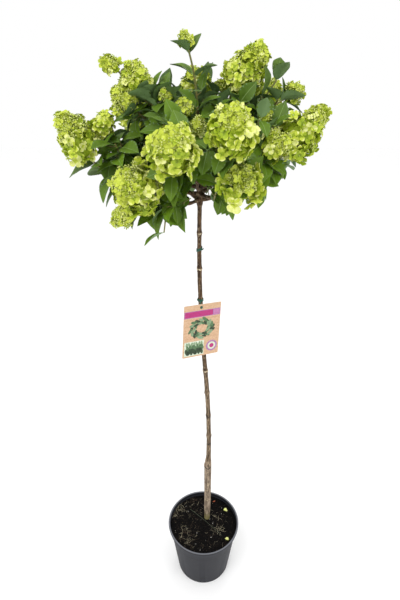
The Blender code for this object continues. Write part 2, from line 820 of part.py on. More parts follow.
def tree_of(shapes):
    """One search tree over several (points, faces)."""
    points, faces = [], []
    for some_points, some_faces in shapes:
        first = len(points)
        points += some_points
        faces += [tuple(first + i for i in face) for face in some_faces]
    return BVHTree.FromPolygons(points, faces)


def guard(outline, looks, whole):
    """A thicker, wider copy of a leaf that keeps its neighbours off, with or without its foot."""
    middle = leaf_centre(outline)
    wide = [middle + (point - middle) * GUARD_SPREAD for point in outline]
    if not whole:
        wide[0] = wide[0].lerp(wide[3], GUARD_START)
    return leaf_solid(wide, looks, GUARD_THICKNESS)


class Crown:
    """What already stands in the crown, so that a new leaf or twig touches none of it."""

    def __init__(self):
        limbs = [tube(*trunk_stations(), TRUNK_SIDES)]
        limbs += [tube(bough_path(mass), bough_radii(), BOUGH_SIDES) for mass in MASSES.values()]
        self.limbs = tree_of(limbs)
        self.shoots = {name: tree_of(shoot_tubes(mass)) for name, mass in MASSES.items()}
        self.paths, self.panicles = {}, []
        for name, mass in MASSES.items():
            self.paths[name] = [shoot_path(mass, shoot) for shoot in mass["shoots"]]
            for shoot in mass["shoots"]:
                if shoot["length"]:
                    self.panicles.append((*panicle_foot(shoot), shoot["length"], shoot["radius"]))
        self.leaves = []
        self.twigs = []

    def in_space(self, name, point):
        """Whether the shoots of this mass run nearest to a point, or nearly so."""
        distances = {}
        for other, paths in self.paths.items():
            spans = [span for path in paths for span in zip(path, path[1:])]
            distances[other] = min(segment_distance(point, a, b) for a, b in spans)
        return distances[name] <= min(distances.values()) + SPACE_SLACK

    def clears_panicles(self, points):
        """Whether points stay out of every panicle, and off the side that it shows outwards."""
        low, high, near = PANICLE_CLEAR
        for foot, axis, length, radius in self.panicles:
            shows = (foot + axis * (length / 2) - CROWN_MIDDLE).normalized()
            for point in points:
                share = (point - foot).dot(axis) / length
                if low < share < high:
                    aside = point - foot - axis * (share * length)
                    limit = panicle_radius(max(0.0, min(1.0, share))) * radius
                    if aside.length < limit * near:
                        return False
                    if aside.length < limit * PANICLE_SHOWN and aside.dot(shows) > 0.0:
                        return False
        return True

    def leaf_fits(self, name, outline, looks):
        samples = leaf_samples(outline)
        if any(outside_crown(point) or hides_fork(point) for point in samples):
            return False
        if not self.clears_panicles(samples):
            return False
        if not self.in_space(name, leaf_centre(outline)):
            return False
        whole = BVHTree.FromPolygons(*guard(outline, looks, True))
        if whole.overlap(self.limbs):
            return False
        if any(whole.overlap(tree) for other, tree in self.shoots.items() if other != name):
            return False
        if any(whole.overlap(tree) for other, tree in self.twigs if other != name):
            return False
        blade = BVHTree.FromPolygons(*guard(outline, looks, False))
        for other, other_whole, other_blade in self.leaves:
            if other == name:
                if blade.overlap(other_blade):
                    return False
            elif whole.overlap(other_whole):
                return False
        if blade.overlap(self.shoots[name]):
            return False
        self.leaves.append((name, whole, blade))
        return True

    def twig_fits(self, name, path):
        if not self.clears_panicles(path[1:]):
            return False
        if not self.in_space(name, path[-1]):
            return False
        shape = tree_of([tube(path, [radius * TWIG_GUARD for radius in TWIG_RADII], SHOOT_SIDES)])
        if shape.overlap(self.limbs):
            return False
        if any(shape.overlap(tree) for other, tree in self.shoots.items() if other != name):
            return False
        if any(shape.overlap(tree) for other, tree in self.twigs if other != name):
            return False
        if any(shape.overlap(whole) for other, whole, blade in self.leaves if other != name):
            return False
        self.twigs.append((name, shape))
        return True


def outside_crown(point):
    """Whether a point lies over the crown's top or under its skirt, which is higher on the right."""
    skirt = CROWN_BOTTOM + SKIRT_RISE * max(0.0, point.x - SKIRT_START)
    skirt -= SKIRT_FALL * max(0.0, point.y)
    return point.z > CROWN_TOP or point.z < max(skirt, CROWN_BOTTOM)


def hides_fork(point):
    """Whether a point stands before the trunk's bare head, seen from the front and above."""
    before = TRUNK_TOP.y - point.y
    near = abs(point.x - TRUNK_TOP.x) < FORK_HALF_WIDTH
    return near and before > 0.0 and point.z < FORK_HIGH + FORK_RISE * before


def leaf_samples(outline):
    """Points spread over a leaf, by which its place is tested."""
    edge = outline[1:]
    halves = [(a + b) / 2 for a, b in zip(edge, edge[1:])]
    return edge + halves + [leaf_centre(outline)]


def leaf_centre(outline):
    foot, left, tip, right = outline[0], outline[1], outline[3], outline[5]
    return (foot + left + tip + right) / 4


def try_leaf(crown, name, place, ahead, angle, lean, size, chance):
    """Places a leaf at a node, turning and bending it a little until it fits, or gives none."""
    across, aside = crosswise(ahead)
    first_turn, more_turn = TRY_TURNS
    for attempt in range(LEAF_TRIES):
        turn = angle + (chance.random() - 0.5) * (first_turn + more_turn * attempt)
        grown = size * (1.0 - TRY_SHRINK * attempt)
        sideways = across * math.cos(turn) + aside * math.sin(turn)
        points_to, looks = leaf_ways(place, ahead, sideways, lean - TRY_LEAN * attempt, chance)
        width = LEAF_WIDTH * grown * vary(chance, LEAF_WIDTH_SPREAD)
        outline = leaf_outline(place, points_to, looks, LEAF_LENGTH * grown, width)
        if crown.leaf_fits(name, outline, looks):
            return outline, looks
    return None


def twig_from(place, ahead, angle, chance):
    """The path of a side twig: two halves, the second a little steeper."""
    across, aside = crosswise(ahead)
    sideways = across * math.cos(angle) + aside * math.sin(angle)
    half = TWIG_LENGTH * vary(chance, TWIG_LENGTH_SPREAD) / 2
    low_way = (sideways * TWIG_SIDEWAYS + ahead * TWIG_ONWARDS + TWIG_RISES[0]).normalized()
    high_way = (low_way + TWIG_RISES[1]).normalized()
    elbow = place + low_way * half
    return [place, elbow, elbow + high_way * half]


def grow_pairs(crown, name, path, size, on_twig, chance, found):
    """Crossed pairs of leaves from the end of a path back to its first node, some with a side twig."""
    total = path_length(path)
    turn = chance.random() * math.pi
    distance = total - (PAIR_OFFSET * 2 if on_twig else FIRST_PAIR)
    last = TWIG_LENGTH * TWIG_BARE if on_twig else LAST_PAIR
    spacing = NODE_SPACING * TWIG_SPACING if on_twig else NODE_SPACING
    lean = LEAF_TIP_LEAN
    while distance > last:
        for side in (1, -1):
            angle = turn + math.pi * (side > 0)
            place, ahead = along(path, distance + PAIR_OFFSET * side)
            if not on_twig and distance < total * TWIG_REACH and chance.random() < TWIG_CHANCE:
                twig = twig_from(place, ahead, angle, chance)
                if crown.twig_fits(name, twig):
                    found["twigs"].append(twig)
                    grow_pairs(crown, name, twig, LEAF_SIZES["twig"], True, chance, found)
                    continue
            grown = size * vary(chance, LEAF_SIZE_SPREAD)
            leaf = try_leaf(crown, name, place, ahead, angle, lean, grown, chance)
            if leaf:
                found["leaves"].append(leaf)
        lean = LEAF_LEAN
        turn += math.pi / 2
        distance -= spacing * vary(chance, NODE_SPREAD)
        size = min(LEAF_SIZES["full"], size + LEAF_SIZE_STEP)


def grow_mass(crown, name):
    """All leaves and side twigs of a mass, shoot by shoot, from one seed for each shoot."""
    found = {"leaves": [], "twigs": []}
    for i, shoot in enumerate(MASSES[name]["shoots"]):
        chance = random.Random(f"{CROWN_SEED} {name} {i} {shoot['seed']}")
        size = LEAF_SIZES["small_shoot" if shoot["length"] < PANICLE_SMALL else "first"]
        grow_pairs(crown, name, shoot_path(MASSES[name], shoot), size, False, chance, found)
    return found


# Joining a mass into one solid


def face_outwards(thing):
    shape = bmesh.new()
    shape.from_mesh(thing.data)
    bmesh.ops.recalc_face_normals(shape, faces=shape.faces)
    shape.to_mesh(thing.data)
    shape.free()


def remove_collection(group):
    for thing in list(group.objects):
        bpy.data.objects.remove(thing)
    bpy.data.collections.remove(group)


def apply_modifiers(thing):
    seen = thing.evaluated_get(bpy.context.evaluated_depsgraph_get())
    mesh = bpy.data.meshes.new_from_object(seen)
    thing.modifiers.clear()
    thing.data = mesh


def keep_largest(thing):
    """Drops what a union leaves loose or sealed inside, and keeps the largest shell."""
    shape = bmesh.new()
    shape.from_mesh(thing.data)
    left, shells = set(shape.verts), []
    while left:
        stack = [left.pop()]
        shell = set(stack)
        while stack:
            for edge in stack.pop().link_edges:
                for vert in edge.verts:
                    if vert in left:
                        left.discard(vert)
                        shell.add(vert)
                        stack.append(vert)
        shells.append(shell)
    shells.sort(key=len, reverse=True)
    loose = [vert for shell in shells[1:] for vert in shell]
    bmesh.ops.delete(shape, geom=loose, context="VERTS")
    shape.to_mesh(thing.data)
    shape.free()
    return len(shells) - 1


def build_mass(crown, name):
    """One mass as one solid: its stem, shoots, twigs, leaves and panicles, joined."""
    mass = MASSES[name]
    tubes = shoot_tubes(mass)
    body = add_object(f"foliage_{name}", *tubes[0], "foliage")
    face_outwards(body)
    parts = bpy.data.collections.new(f"parts_{name}")
    bpy.context.scene.collection.children.link(parts)
    shapes = tubes[1:]
    chance = random.Random(f"{CROWN_SEED} {name} florets")
    for shoot in mass["shoots"]:
        if shoot["length"]:
            foot, axis = panicle_foot(shoot)
            shapes.append(panicle_solid(foot, axis, shoot["length"], shoot["radius"], chance))
    found = grow_mass(crown, name)
    shapes += [tube(twig, TWIG_RADII, SHOOT_SIDES) for twig in found["twigs"]]
    shapes += [leaf_solid(outline, looks, LEAF_THICKNESS) for outline, looks in found["leaves"]]
    for i, shape in enumerate(shapes):
        face_outwards(add_object(f"piece_{name}_{i}", *shape, "foliage", parts))
    join = body.modifiers.new("join", "BOOLEAN")
    join.operation = "UNION"
    join.operand_type = "COLLECTION"
    join.collection = parts
    join.solver = "MANIFOLD"
    apply_modifiers(body)
    remove_collection(parts)
    dropped = keep_largest(body)
    counts = f"{len(found['leaves'])} leaves, {len(found['twigs'])} twigs"
    print(f"{name}: {counts}, {len(body.data.polygons)} faces, {dropped} loose shells dropped")
    return body


# Ties and label


def tie_radii(name):
    """Inner and outer radius of a tie, which lies a little slack round the trunk."""
    height = TIE_HEIGHTS[name]
    inner = max(trunk_radius(height - TIE_BAND), trunk_radius(height + TIE_BAND)) + TIE_SLACK
    return inner, inner + TIE_THICKNESS


def build_tie(name):
    """A soft plastic band round the trunk, cut square."""
    middle = trunk_axis(TIE_HEIGHTS[name])
    slope = math.tan(math.radians(TIE_SLANT[name]))
    inner, outer = tie_radii(name)
    points = []
    for radius, rise in ((inner, -0.5), (outer, -0.5), (outer, 0.5), (inner, 0.5)):
        for k in range(TIE_SIDES):
            turn = 2 * math.pi * k / TIE_SIDES
            x, y = math.cos(turn) * radius, math.sin(turn) * radius
            points.append(middle + Vector((x, y, x * slope + rise * TIE_BAND)))
    faces = []
    for row in range(4):
        low, high = row * TIE_SIDES, ((row + 1) % 4) * TIE_SIDES
        for k in range(TIE_SIDES):
            after = (k + 1) % TIE_SIDES
            faces.append((low + k, low + after, high + after, high + k))
    band = add_object(name, points, faces, "tie_plastic")
    face_outwards(band)
    return band


def label_hole():
    """The middle of the hole in the label, in front of the trunk and below the lower tie."""
    middle = trunk_axis(TIE_HEIGHTS["tie_lower"])
    return middle + Vector((TONGUE_ASIDE, -trunk_radius(middle.z) - LABEL_STAND_OFF, -TONGUE_DROP))


def label_matrix():
    """The label's own frame: X across it, Z up it, Y away from its printed face."""
    turn = Matrix.Rotation(math.radians(LABEL_TURN), 4, "Z")
    roll = Matrix.Rotation(math.radians(LABEL_ROLL), 4, "Y")
    lean = Matrix.Rotation(math.radians(-LABEL_LEAN), 4, "X")
    return Matrix.Translation(label_hole()) @ turn @ roll @ lean


def label_outline():
    """Corners of the label round its hole, each one rounded."""
    left, right = LABEL_HOLE_ASIDE - LABEL_WIDTH / 2, LABEL_HOLE_ASIDE + LABEL_WIDTH / 2
    top, bottom = LABEL_HOLE_INSET, LABEL_HOLE_INSET - LABEL_HEIGHT
    outline = []
    for x, z, start in ((right, top, 0), (left, top, 90), (left, bottom, 180), (right, bottom, 270)):
        centre_x = x - math.copysign(LABEL_CORNER, x)
        centre_z = z - math.copysign(LABEL_CORNER, z)
        for k in range(LABEL_CORNER_STEPS):
            turn = math.radians(start + 90 * k / (LABEL_CORNER_STEPS - 1))
            out, up = LABEL_CORNER * math.cos(turn), LABEL_CORNER * math.sin(turn)
            outline.append((centre_x + out, centre_z + up))
    return outline


def build_label():
    outline = label_outline()
    count = len(outline)
    front = [Vector((x, -LABEL_THICKNESS / 2, z)) for x, z in outline]
    back = [Vector((x, LABEL_THICKNESS / 2, z)) for x, z in outline]
    faces = [tuple(range(count)), tuple(reversed(range(count, 2 * count)))]
    faces += [(k, count + k, count + (k + 1) % count, (k + 1) % count) for k in range(count)]
    label = add_object("label", front + back, faces, "label_card")
    face_outwards(label)
    through = Vector((0.0, LABEL_THICKNESS * 4, 0.0))
    points, walls = tube([-through, through], [LABEL_HOLE_RADIUS] * 2, LABEL_HOLE_SIDES)
    punch = add_object("punch", points, walls, "label_card")
    punch.hide_render = True
    punch.display_type = "WIRE"
    face_outwards(punch)
    join_or_cut(label, punch, "DIFFERENCE")
    label.data.transform(label_matrix())
    return label


def join_or_cut(thing, piece, operation):
    """Joins a piece to a solid, or cuts it out of one, and removes the piece."""
    step = thing.modifiers.new("step", "BOOLEAN")
    step.operation = operation
    step.object = piece
    step.solver = "EXACT"
    apply_modifiers(thing)
    bpy.data.objects.remove(piece)


def add_tongue(band):
    """The lower tie's tongue hangs from its band, passes through the label's hole and ends in a knob."""
    through = (label_matrix().to_3x3() @ Vector((0, -1, 0))).normalized()
    hole = label_hole()
    inner, outer = tie_radii("tie_lower")
    root = trunk_axis(TIE_HEIGHTS["tie_lower"]) - Vector((0.0, (inner + outer) / 2, 0.0))
    start = root - Vector((0.0, TONGUE_STRAIGHT, 0.0))
    behind = hole - through * TONGUE_BEHIND
    guides = (start, start - Vector((0.0, TONGUE_EASE, 0.0)), behind - through * TONGUE_EASE, behind)
    path = [root] + curve_points(guides, 5) + [hole + through * KNOB_DEPTHS[1]]
    points, faces = tube(path, [TONGUE_RADIUS] * len(path), TONGUE_SIDES)
    tongue = add_object("tongue", points, faces, "tie_plastic")
    path = [hole + through * depth for depth in KNOB_DEPTHS]
    points, faces = tube(path, [KNOB_RADIUS, KNOB_RADIUS, KNOB_RADIUS * KNOB_TIP_SHARE], TONGUE_SIDES)
    knob = add_object("knob", points, faces, "tie_plastic")
    for piece in (tongue, knob):
        face_outwards(piece)
        join_or_cut(band, piece, "UNION")


def main():
    clear_scene()
    build_pot()
    build_compost()
    build_trunk()
    for name, mass in MASSES.items():
        build_bough(name, mass)
    crown = Crown()
    for name in MASSES:
        build_mass(crown, name)
    build_tie("tie_upper")
    build_label()
    add_tongue(build_tie("tie_lower"))


main()
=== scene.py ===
import math
import random

import bpy
import numpy as np
from mathutils import Matrix, Vector, noise
from mathutils.bvhtree import BVHTree


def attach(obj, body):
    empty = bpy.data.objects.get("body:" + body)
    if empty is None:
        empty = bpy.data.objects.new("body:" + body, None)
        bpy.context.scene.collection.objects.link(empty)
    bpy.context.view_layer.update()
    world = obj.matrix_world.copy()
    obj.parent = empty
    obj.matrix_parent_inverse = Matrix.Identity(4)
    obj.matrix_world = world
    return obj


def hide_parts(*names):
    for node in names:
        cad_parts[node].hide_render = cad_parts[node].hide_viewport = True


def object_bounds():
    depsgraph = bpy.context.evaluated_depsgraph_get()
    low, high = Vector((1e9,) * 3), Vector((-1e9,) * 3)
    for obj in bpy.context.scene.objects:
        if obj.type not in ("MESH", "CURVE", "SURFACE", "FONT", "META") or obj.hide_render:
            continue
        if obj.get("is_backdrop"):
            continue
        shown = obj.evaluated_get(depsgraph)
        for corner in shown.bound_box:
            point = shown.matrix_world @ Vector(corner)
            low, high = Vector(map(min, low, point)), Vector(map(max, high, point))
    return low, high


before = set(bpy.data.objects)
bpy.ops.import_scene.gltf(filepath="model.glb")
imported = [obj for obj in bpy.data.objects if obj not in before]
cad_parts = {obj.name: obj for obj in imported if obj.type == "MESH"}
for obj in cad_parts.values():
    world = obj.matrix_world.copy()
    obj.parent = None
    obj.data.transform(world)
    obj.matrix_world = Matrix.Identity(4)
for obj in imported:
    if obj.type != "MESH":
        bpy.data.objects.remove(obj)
cadLow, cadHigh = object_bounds()
print("frame loaded with", len(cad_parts), "nodes")

up = Vector((0.0, 0.0, 1.0))
goldenTurn = 2.39996  # from one thing to the next on an even spiral


# Shader nodes as plain maths

class Wire:
    # an output socket that Python's own signs work on, or only the tree that new nodes go into
    def __init__(self, tree, socket=None):
        self.tree = tree
        self.socket = socket

    def node(self, kind, settings=None, inputs=None, output=0):
        made = self.tree.nodes.new("ShaderNode" + kind)
        for name, value in (settings or {}).items():
            setattr(made, name, value)
        for name, value in (inputs or {}).items():
            if isinstance(value, Wire):
                self.tree.links.new(value.socket, made.inputs[name])
            else:
                made.inputs[name].default_value = value
        return Wire(self.tree, made.outputs[output])

    def maths(self, operation, first, second=0.0):
        return self.node("Math", {"operation": operation}, {0: first, 1: second})

    def __add__(self, other):
        return self.maths("ADD", self, other)

    def __sub__(self, other):
        return self.maths("SUBTRACT", self, other)

    def __rsub__(self, other):
        return self.maths("SUBTRACT", other, self)

    def __mul__(self, other):
        return self.maths("MULTIPLY", self, other)

    __radd__ = __add__
    __rmul__ = __mul__

    def step(self, low, high):  # 0 up to low, 1 from high, smooth between them
        inputs = {"Value": self, "From Min": low, "From Max": high}
        return self.node("MapRange", {"interpolation_type": "SMOOTHSTEP"}, inputs)

    def pick(self, first, second):  # from the first colour at 0 to the second at 1
        first, second = (made if isinstance(made, Wire) else paint(*made) for made in (first, second))
        return self.node("Mix", {"data_type": "RGBA"}, {0: self, 6: first, 7: second}, 2)

    def place(self):
        return self.node("TexCoord", output="Object")

    def height(self):
        return self.node("SeparateXYZ", None, {"Vector": self}, 2)

    def stretched(self, scale):
        return self.node("Mapping", None, {"Vector": self, "Scale": scale})

    def cloud(self, scale, detail=3.0, roughness=0.55):
        inputs = {"Vector": self, "Scale": scale, "Detail": detail, "Roughness": roughness}
        return self.node("TexNoise", None, inputs)

    def relief(self, strength, distance):
        return self.node("Bump", None, {"Height": self, "Strength": strength, "Distance": distance})


def paint(red, green, blue):  # a colour as the eye reads it, 0 to 255, turned into Blender's linear one
    return tuple((c / 255) ** 2.2 for c in (red, green, blue)) + (1.0,)


def finish(name, sockets):
    made = bpy.data.materials.new(name)
    made.use_nodes = True
    tree = made.node_tree
    shader = tree.nodes["Principled BSDF"]
    for socket, value in sockets(Wire(tree)).items():
        if isinstance(value, Wire):
            tree.links.new(value.socket, shader.inputs[socket])
        else:
            shader.inputs[socket].default_value = value
    return made


def grained(colours, grain, roughness, bands=None, relief=None, fine=None, more=None):
    # colour, roughness and relief all follow one grain, except where the relief has a fine one
    def sockets(wires):
        cloud = wires.place().cloud(*grain)
        shade = cloud.step(*bands) if bands else cloud
        base, by = roughness
        made = {"Base Color": shade.pick(*colours), "Roughness": cloud * by + base if by else base}
        if relief:
            made["Normal"] = (wires.place().cloud(*fine) if fine else cloud).relief(*relief)
        return made | (more or {})
    return sockets


# Curves and tubes that the whole plant is drawn with

def compassDirection(compass, rise):
    around, lift = math.radians(compass), math.radians(rise)
    return Vector((math.cos(around) * math.cos(lift), math.sin(around) * math.cos(lift), math.sin(lift)))


def curvePoint(guides, share):
    a, b, c, d = guides
    rest = 1.0 - share
    return a * rest**3 + b * (3 * rest**2 * share) + c * (3 * rest * share**2) + d * share**3


def curvePoints(guides, count):
    return [curvePoint(guides, i / (count - 1)) for i in range(count)]


def crosswise(direction):
    helper = up if abs(direction.z) < 0.9 else Vector((1, 0, 0))
    across = direction.cross(helper).normalized()
    return across, across.cross(direction).normalized()


def spoke(ahead, turn):  # a way square to this one, turned round it
    across, aside = crosswise(ahead)
    return across * math.cos(turn) + aside * math.sin(turn)


def ringPoints(place, across, aside, radii):  # one point of a ring for each radius
    points = []
    for k, radius in enumerate(radii):
        turn = 2 * math.pi * k / len(radii)
        points.append(place + (across * math.cos(turn) + aside * math.sin(turn)) * radius)
    return points


def band(low, high, sides, flipped=False):  # the faces between the rings that start at these points
    faces = []
    for k in range(sides):
        after = (k + 1) % sides
        a, b, c, d = low + k, low + after, high + after, high + k
        faces.append((a, d, c, b) if flipped else (a, b, c, d))
    return faces


def lids(sides, last):  # the faces that close the first ring and the last one
    return [tuple(reversed(range(sides))), tuple(range(last, last + sides))]


def plate(near, far):  # a closed solid between two like outlines
    count = len(near)
    ends = [tuple(range(count)), tuple(reversed(range(count, 2 * count)))]
    return near + far, ends + band(0, count, count, True)


def tube(path, radii, sides):
    points, faces = [], []
    across = None
    for i, place in enumerate(path):
        ahead = (path[min(i + 1, len(path) - 1)] - path[max(i - 1, 0)]).normalized()
        if across is None:
            across = crosswise(ahead)[0]
        across = (across - ahead * across.dot(ahead)).normalized()
        points += ringPoints(place, across, ahead.cross(across), [radii[i]] * sides)
    for i in range(len(path) - 1):
        faces += band(i * sides, (i + 1) * sides, sides)
    return points, faces + lids(sides, len(points) - sides)


def pathLength(path):
    return sum((b - a).length for a, b in zip(path, path[1:]))


def along(path, distance):
    for a, b in zip(path, path[1:]):
        step = (b - a).length
        if distance <= step or b is path[-1]:
            return a + (b - a) * (distance / step), (b - a).normalized()
        distance -= step
    return path[-1], (path[-1] - path[-2]).normalized()


def clamped(share):
    return min(1.0, max(0.0, share))


def vary(chance, by):  # a chance factor from 1 - by to 1 + by
    return 1.0 + by * (2.0 * chance.random() - 1.0)


def anyTurn(chance):
    return 6.28 * chance.random()


def placeObject(name, data):
    made = bpy.data.objects.new(name, data)
    bpy.context.scene.collection.objects.link(made)
    return made


# Many small things gathered into one mesh

class Heap:
    def __init__(self):
        self.points = []
        self.faces = []
        self.finishes = []
        self.count = 0

    def add(self, points, faces, which=0):
        first = self.count
        self.points.append(np.asarray(points, dtype=float).reshape(-1, 3))
        self.faces += [tuple(first + i for i in face) for face in faces]
        if isinstance(which, int):
            which = [which] * len(faces)
        self.finishes += which
        self.count += len(self.points[-1])

    def piece(self, name, materials, sharpAngle=None):
        mesh = bpy.data.meshes.new(name)
        mesh.from_pydata(np.concatenate(self.points).tolist(), [], self.faces)
        for made in materials:
            mesh.materials.append(made)
        mesh.polygons.foreach_set("material_index", self.finishes)
        mesh.polygons.foreach_set("use_smooth", [True] * len(self.faces))
        if sharpAngle:
            mesh.set_sharp_from_angle(angle=math.radians(sharpAngle))
        mesh.update()
        mesh.calc_loop_triangles()
        print(name, "has", len(mesh.loop_triangles), "triangles")
        return placeObject(name, mesh)


def settle(piece, slot, *nodes):  # the piece moves with the plant and stands for these solids
    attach(piece, "root")
    if nodes:
        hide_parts(*nodes)
    return piece


# Trunk and boughs, as the frame's solids run

seatGap = 0.0003
trunkLine = (  # the trunk's middle at guide points, and its radius there
    (Vector((0.0114, 0.0235, 0.1925)), 0.0088),
    (Vector((0.0124, 0.0220, 0.2620)), 0.0102),
    (Vector((0.0125, 0.0190, 0.4480)), 0.0107),
    (Vector((0.0140, 0.0180, 0.5000)), 0.0070),
    (Vector((0.0137, 0.0180, 0.5900)), 0.0064),
    (Vector((0.0086, 0.0180, 0.7300)), 0.0060),
    (Vector((-0.0020, 0.0180, 0.8800)), 0.0057),
    (Vector((-0.0112, 0.0180, 1.0600)), 0.0053),
    (Vector((-0.0128, 0.0180, 1.1900)), 0.0048),
    (Vector((-0.0110, 0.0180, 1.3220)), 0.0046),
)
trunkGuides = [place for place, radius in trunkLine]
trunkFoot, trunkTop = trunkGuides[0], trunkGuides[-1]
trunkShape = {
    "sides": 8,
    "joints": (0.578, 0.657, 0.74, 0.816, 0.915, 1.0, 1.113, 1.2),
    "jointSwell": 0.001,
    "jointReach": 0.0075,
    "jointSpread": 1.4,
    "headLow": 1.27,
    "headRadius": 0.0068,
    "headRise": 0.013,
    "headTaper": 0.003,
    "headTopShare": 0.8,
}
tieHeights = {"tie_upper": 1.162, "tie_lower": 1.031}
boughShape = {
    "tiers": {"first": 1.2765, "second": 1.2895, "third": 1.3025, "fourth": 1.314},
    "footRadius": 0.004,
    "tipRadius": 0.003,
    "sides": 6,
    "stations": 7,
    "collar": 0.003,
    "ease": 0.34,
    "lift": up * 0.83,
    "ripple": 0.08,
    "rippleRate": 19.0,
}


def trunkSpan(height):  # the guide point below a height, and the share of the way to the next
    i = 0
    while i < len(trunkGuides) - 2 and trunkGuides[i + 1].z <= height:
        i += 1
    low, high = trunkGuides[i].z, trunkGuides[i + 1].z
    return i, (height - low) / (high - low)


def trunkSlope(i):
    low, high = trunkGuides[max(i - 1, 0)], trunkGuides[min(i + 1, len(trunkGuides) - 1)]
    return (high - low) / (high.z - low.z)


def trunkAxis(height):
    i, share = trunkSpan(height)
    low, high = trunkGuides[i], trunkGuides[i + 1]
    rise = high.z - low.z
    guides = (low, low + trunkSlope(i) * (rise / 3), high - trunkSlope(i + 1) * (rise / 3), high)
    place = curvePoint(guides, share)
    place.z = height
    return place


def trunkRadius(height):
    shape = trunkShape
    i, share = trunkSpan(height)
    low, high = trunkLine[i][1], trunkLine[i + 1][1]
    radius = low + (high - low) * share * share * (3 - 2 * share)
    for joint in shape["joints"]:
        radius += shape["jointSwell"] * math.exp(-(((height - joint) / shape["jointReach"]) ** 2))
    swell = clamped((height - shape["headLow"] + shape["headRise"]) / shape["headRise"])
    return radius + (shape["headRadius"] - radius) * swell * swell * (3 - 2 * swell)


def trunkStations():
    shape = trunkShape
    heights = {guide.z for guide in trunkGuides}
    heights |= {(low.z + high.z) / 2 for low, high in zip(trunkGuides, trunkGuides[1:4])}
    heights |= set(tieHeights.values())
    heights |= {shape["headLow"] - shape["headRise"], shape["headLow"] - shape["headRise"] / 2}
    heights |= {shape["headLow"], trunkTop.z - shape["headTaper"]}
    reach = shape["jointReach"] * shape["jointSpread"]
    for joint in shape["joints"]:
        heights |= {joint - reach, joint, joint + reach}
    heights = sorted(heights)
    radii = [trunkRadius(height) for height in heights]
    radii[-1] *= shape["headTopShare"]
    return [trunkAxis(height) for height in heights], radii


def boughFoot(mass):
    if mass["tier"] == "crown":
        return trunkTop + up * seatGap, up
    outwards = compassDirection(mass["compass"], 0.0)
    axis = trunkAxis(boughShape["tiers"][mass["tier"]])
    return axis + outwards * (trunkShape["headRadius"] + seatGap), outwards


def boughGuides(mass):
    foot, outwards = boughFoot(mass)
    tip = Vector(mass["tip"])
    start = foot + outwards * boughShape["collar"]
    reach = (tip - start).length * boughShape["ease"]
    arrive = ((tip - start).normalized() + boughShape["lift"]).normalized()
    return foot, (start, start + outwards * reach, tip - arrive * reach, tip)


def boughPath(mass):
    foot, guides = boughGuides(mass)
    return [foot] + curvePoints(guides, boughShape["stations"] - 1)


def boughRadius(share):
    radius = boughShape["footRadius"] + (boughShape["tipRadius"] - boughShape["footRadius"]) * share
    return radius * (1.0 + boughShape["ripple"] * math.sin(share * boughShape["rippleRate"]))


def boughRadii():
    last = boughShape["stations"] - 1
    return [boughRadius(i / last) for i in range(boughShape["stations"])]


# The crown's plan: each mass has its bough's tier and compass, the bough's tip and its shoots.
# A shoot ends at the foot of a flower head, given by its middle, the way it points, its length and
# its greatest radius, or in leaves alone, and grows from its own seed. Compass 0 is +X, 270 the front.

def head(x, y, z, compass, rise, length, radius, seed):
    shoot = {"middle": Vector((x, y, z)), "compass": compass, "rise": rise}
    return shoot | {"length": length, "radius": radius, "seed": seed}


def leafy(x, y, z, compass, rise, seed):
    return head(x, y, z, compass, rise, 0.0, 0.0, seed)


def plan(tier, compass, tip, *shoots):
    return {"tier": tier, "compass": compass, "tip": tip, "shoots": shoots}


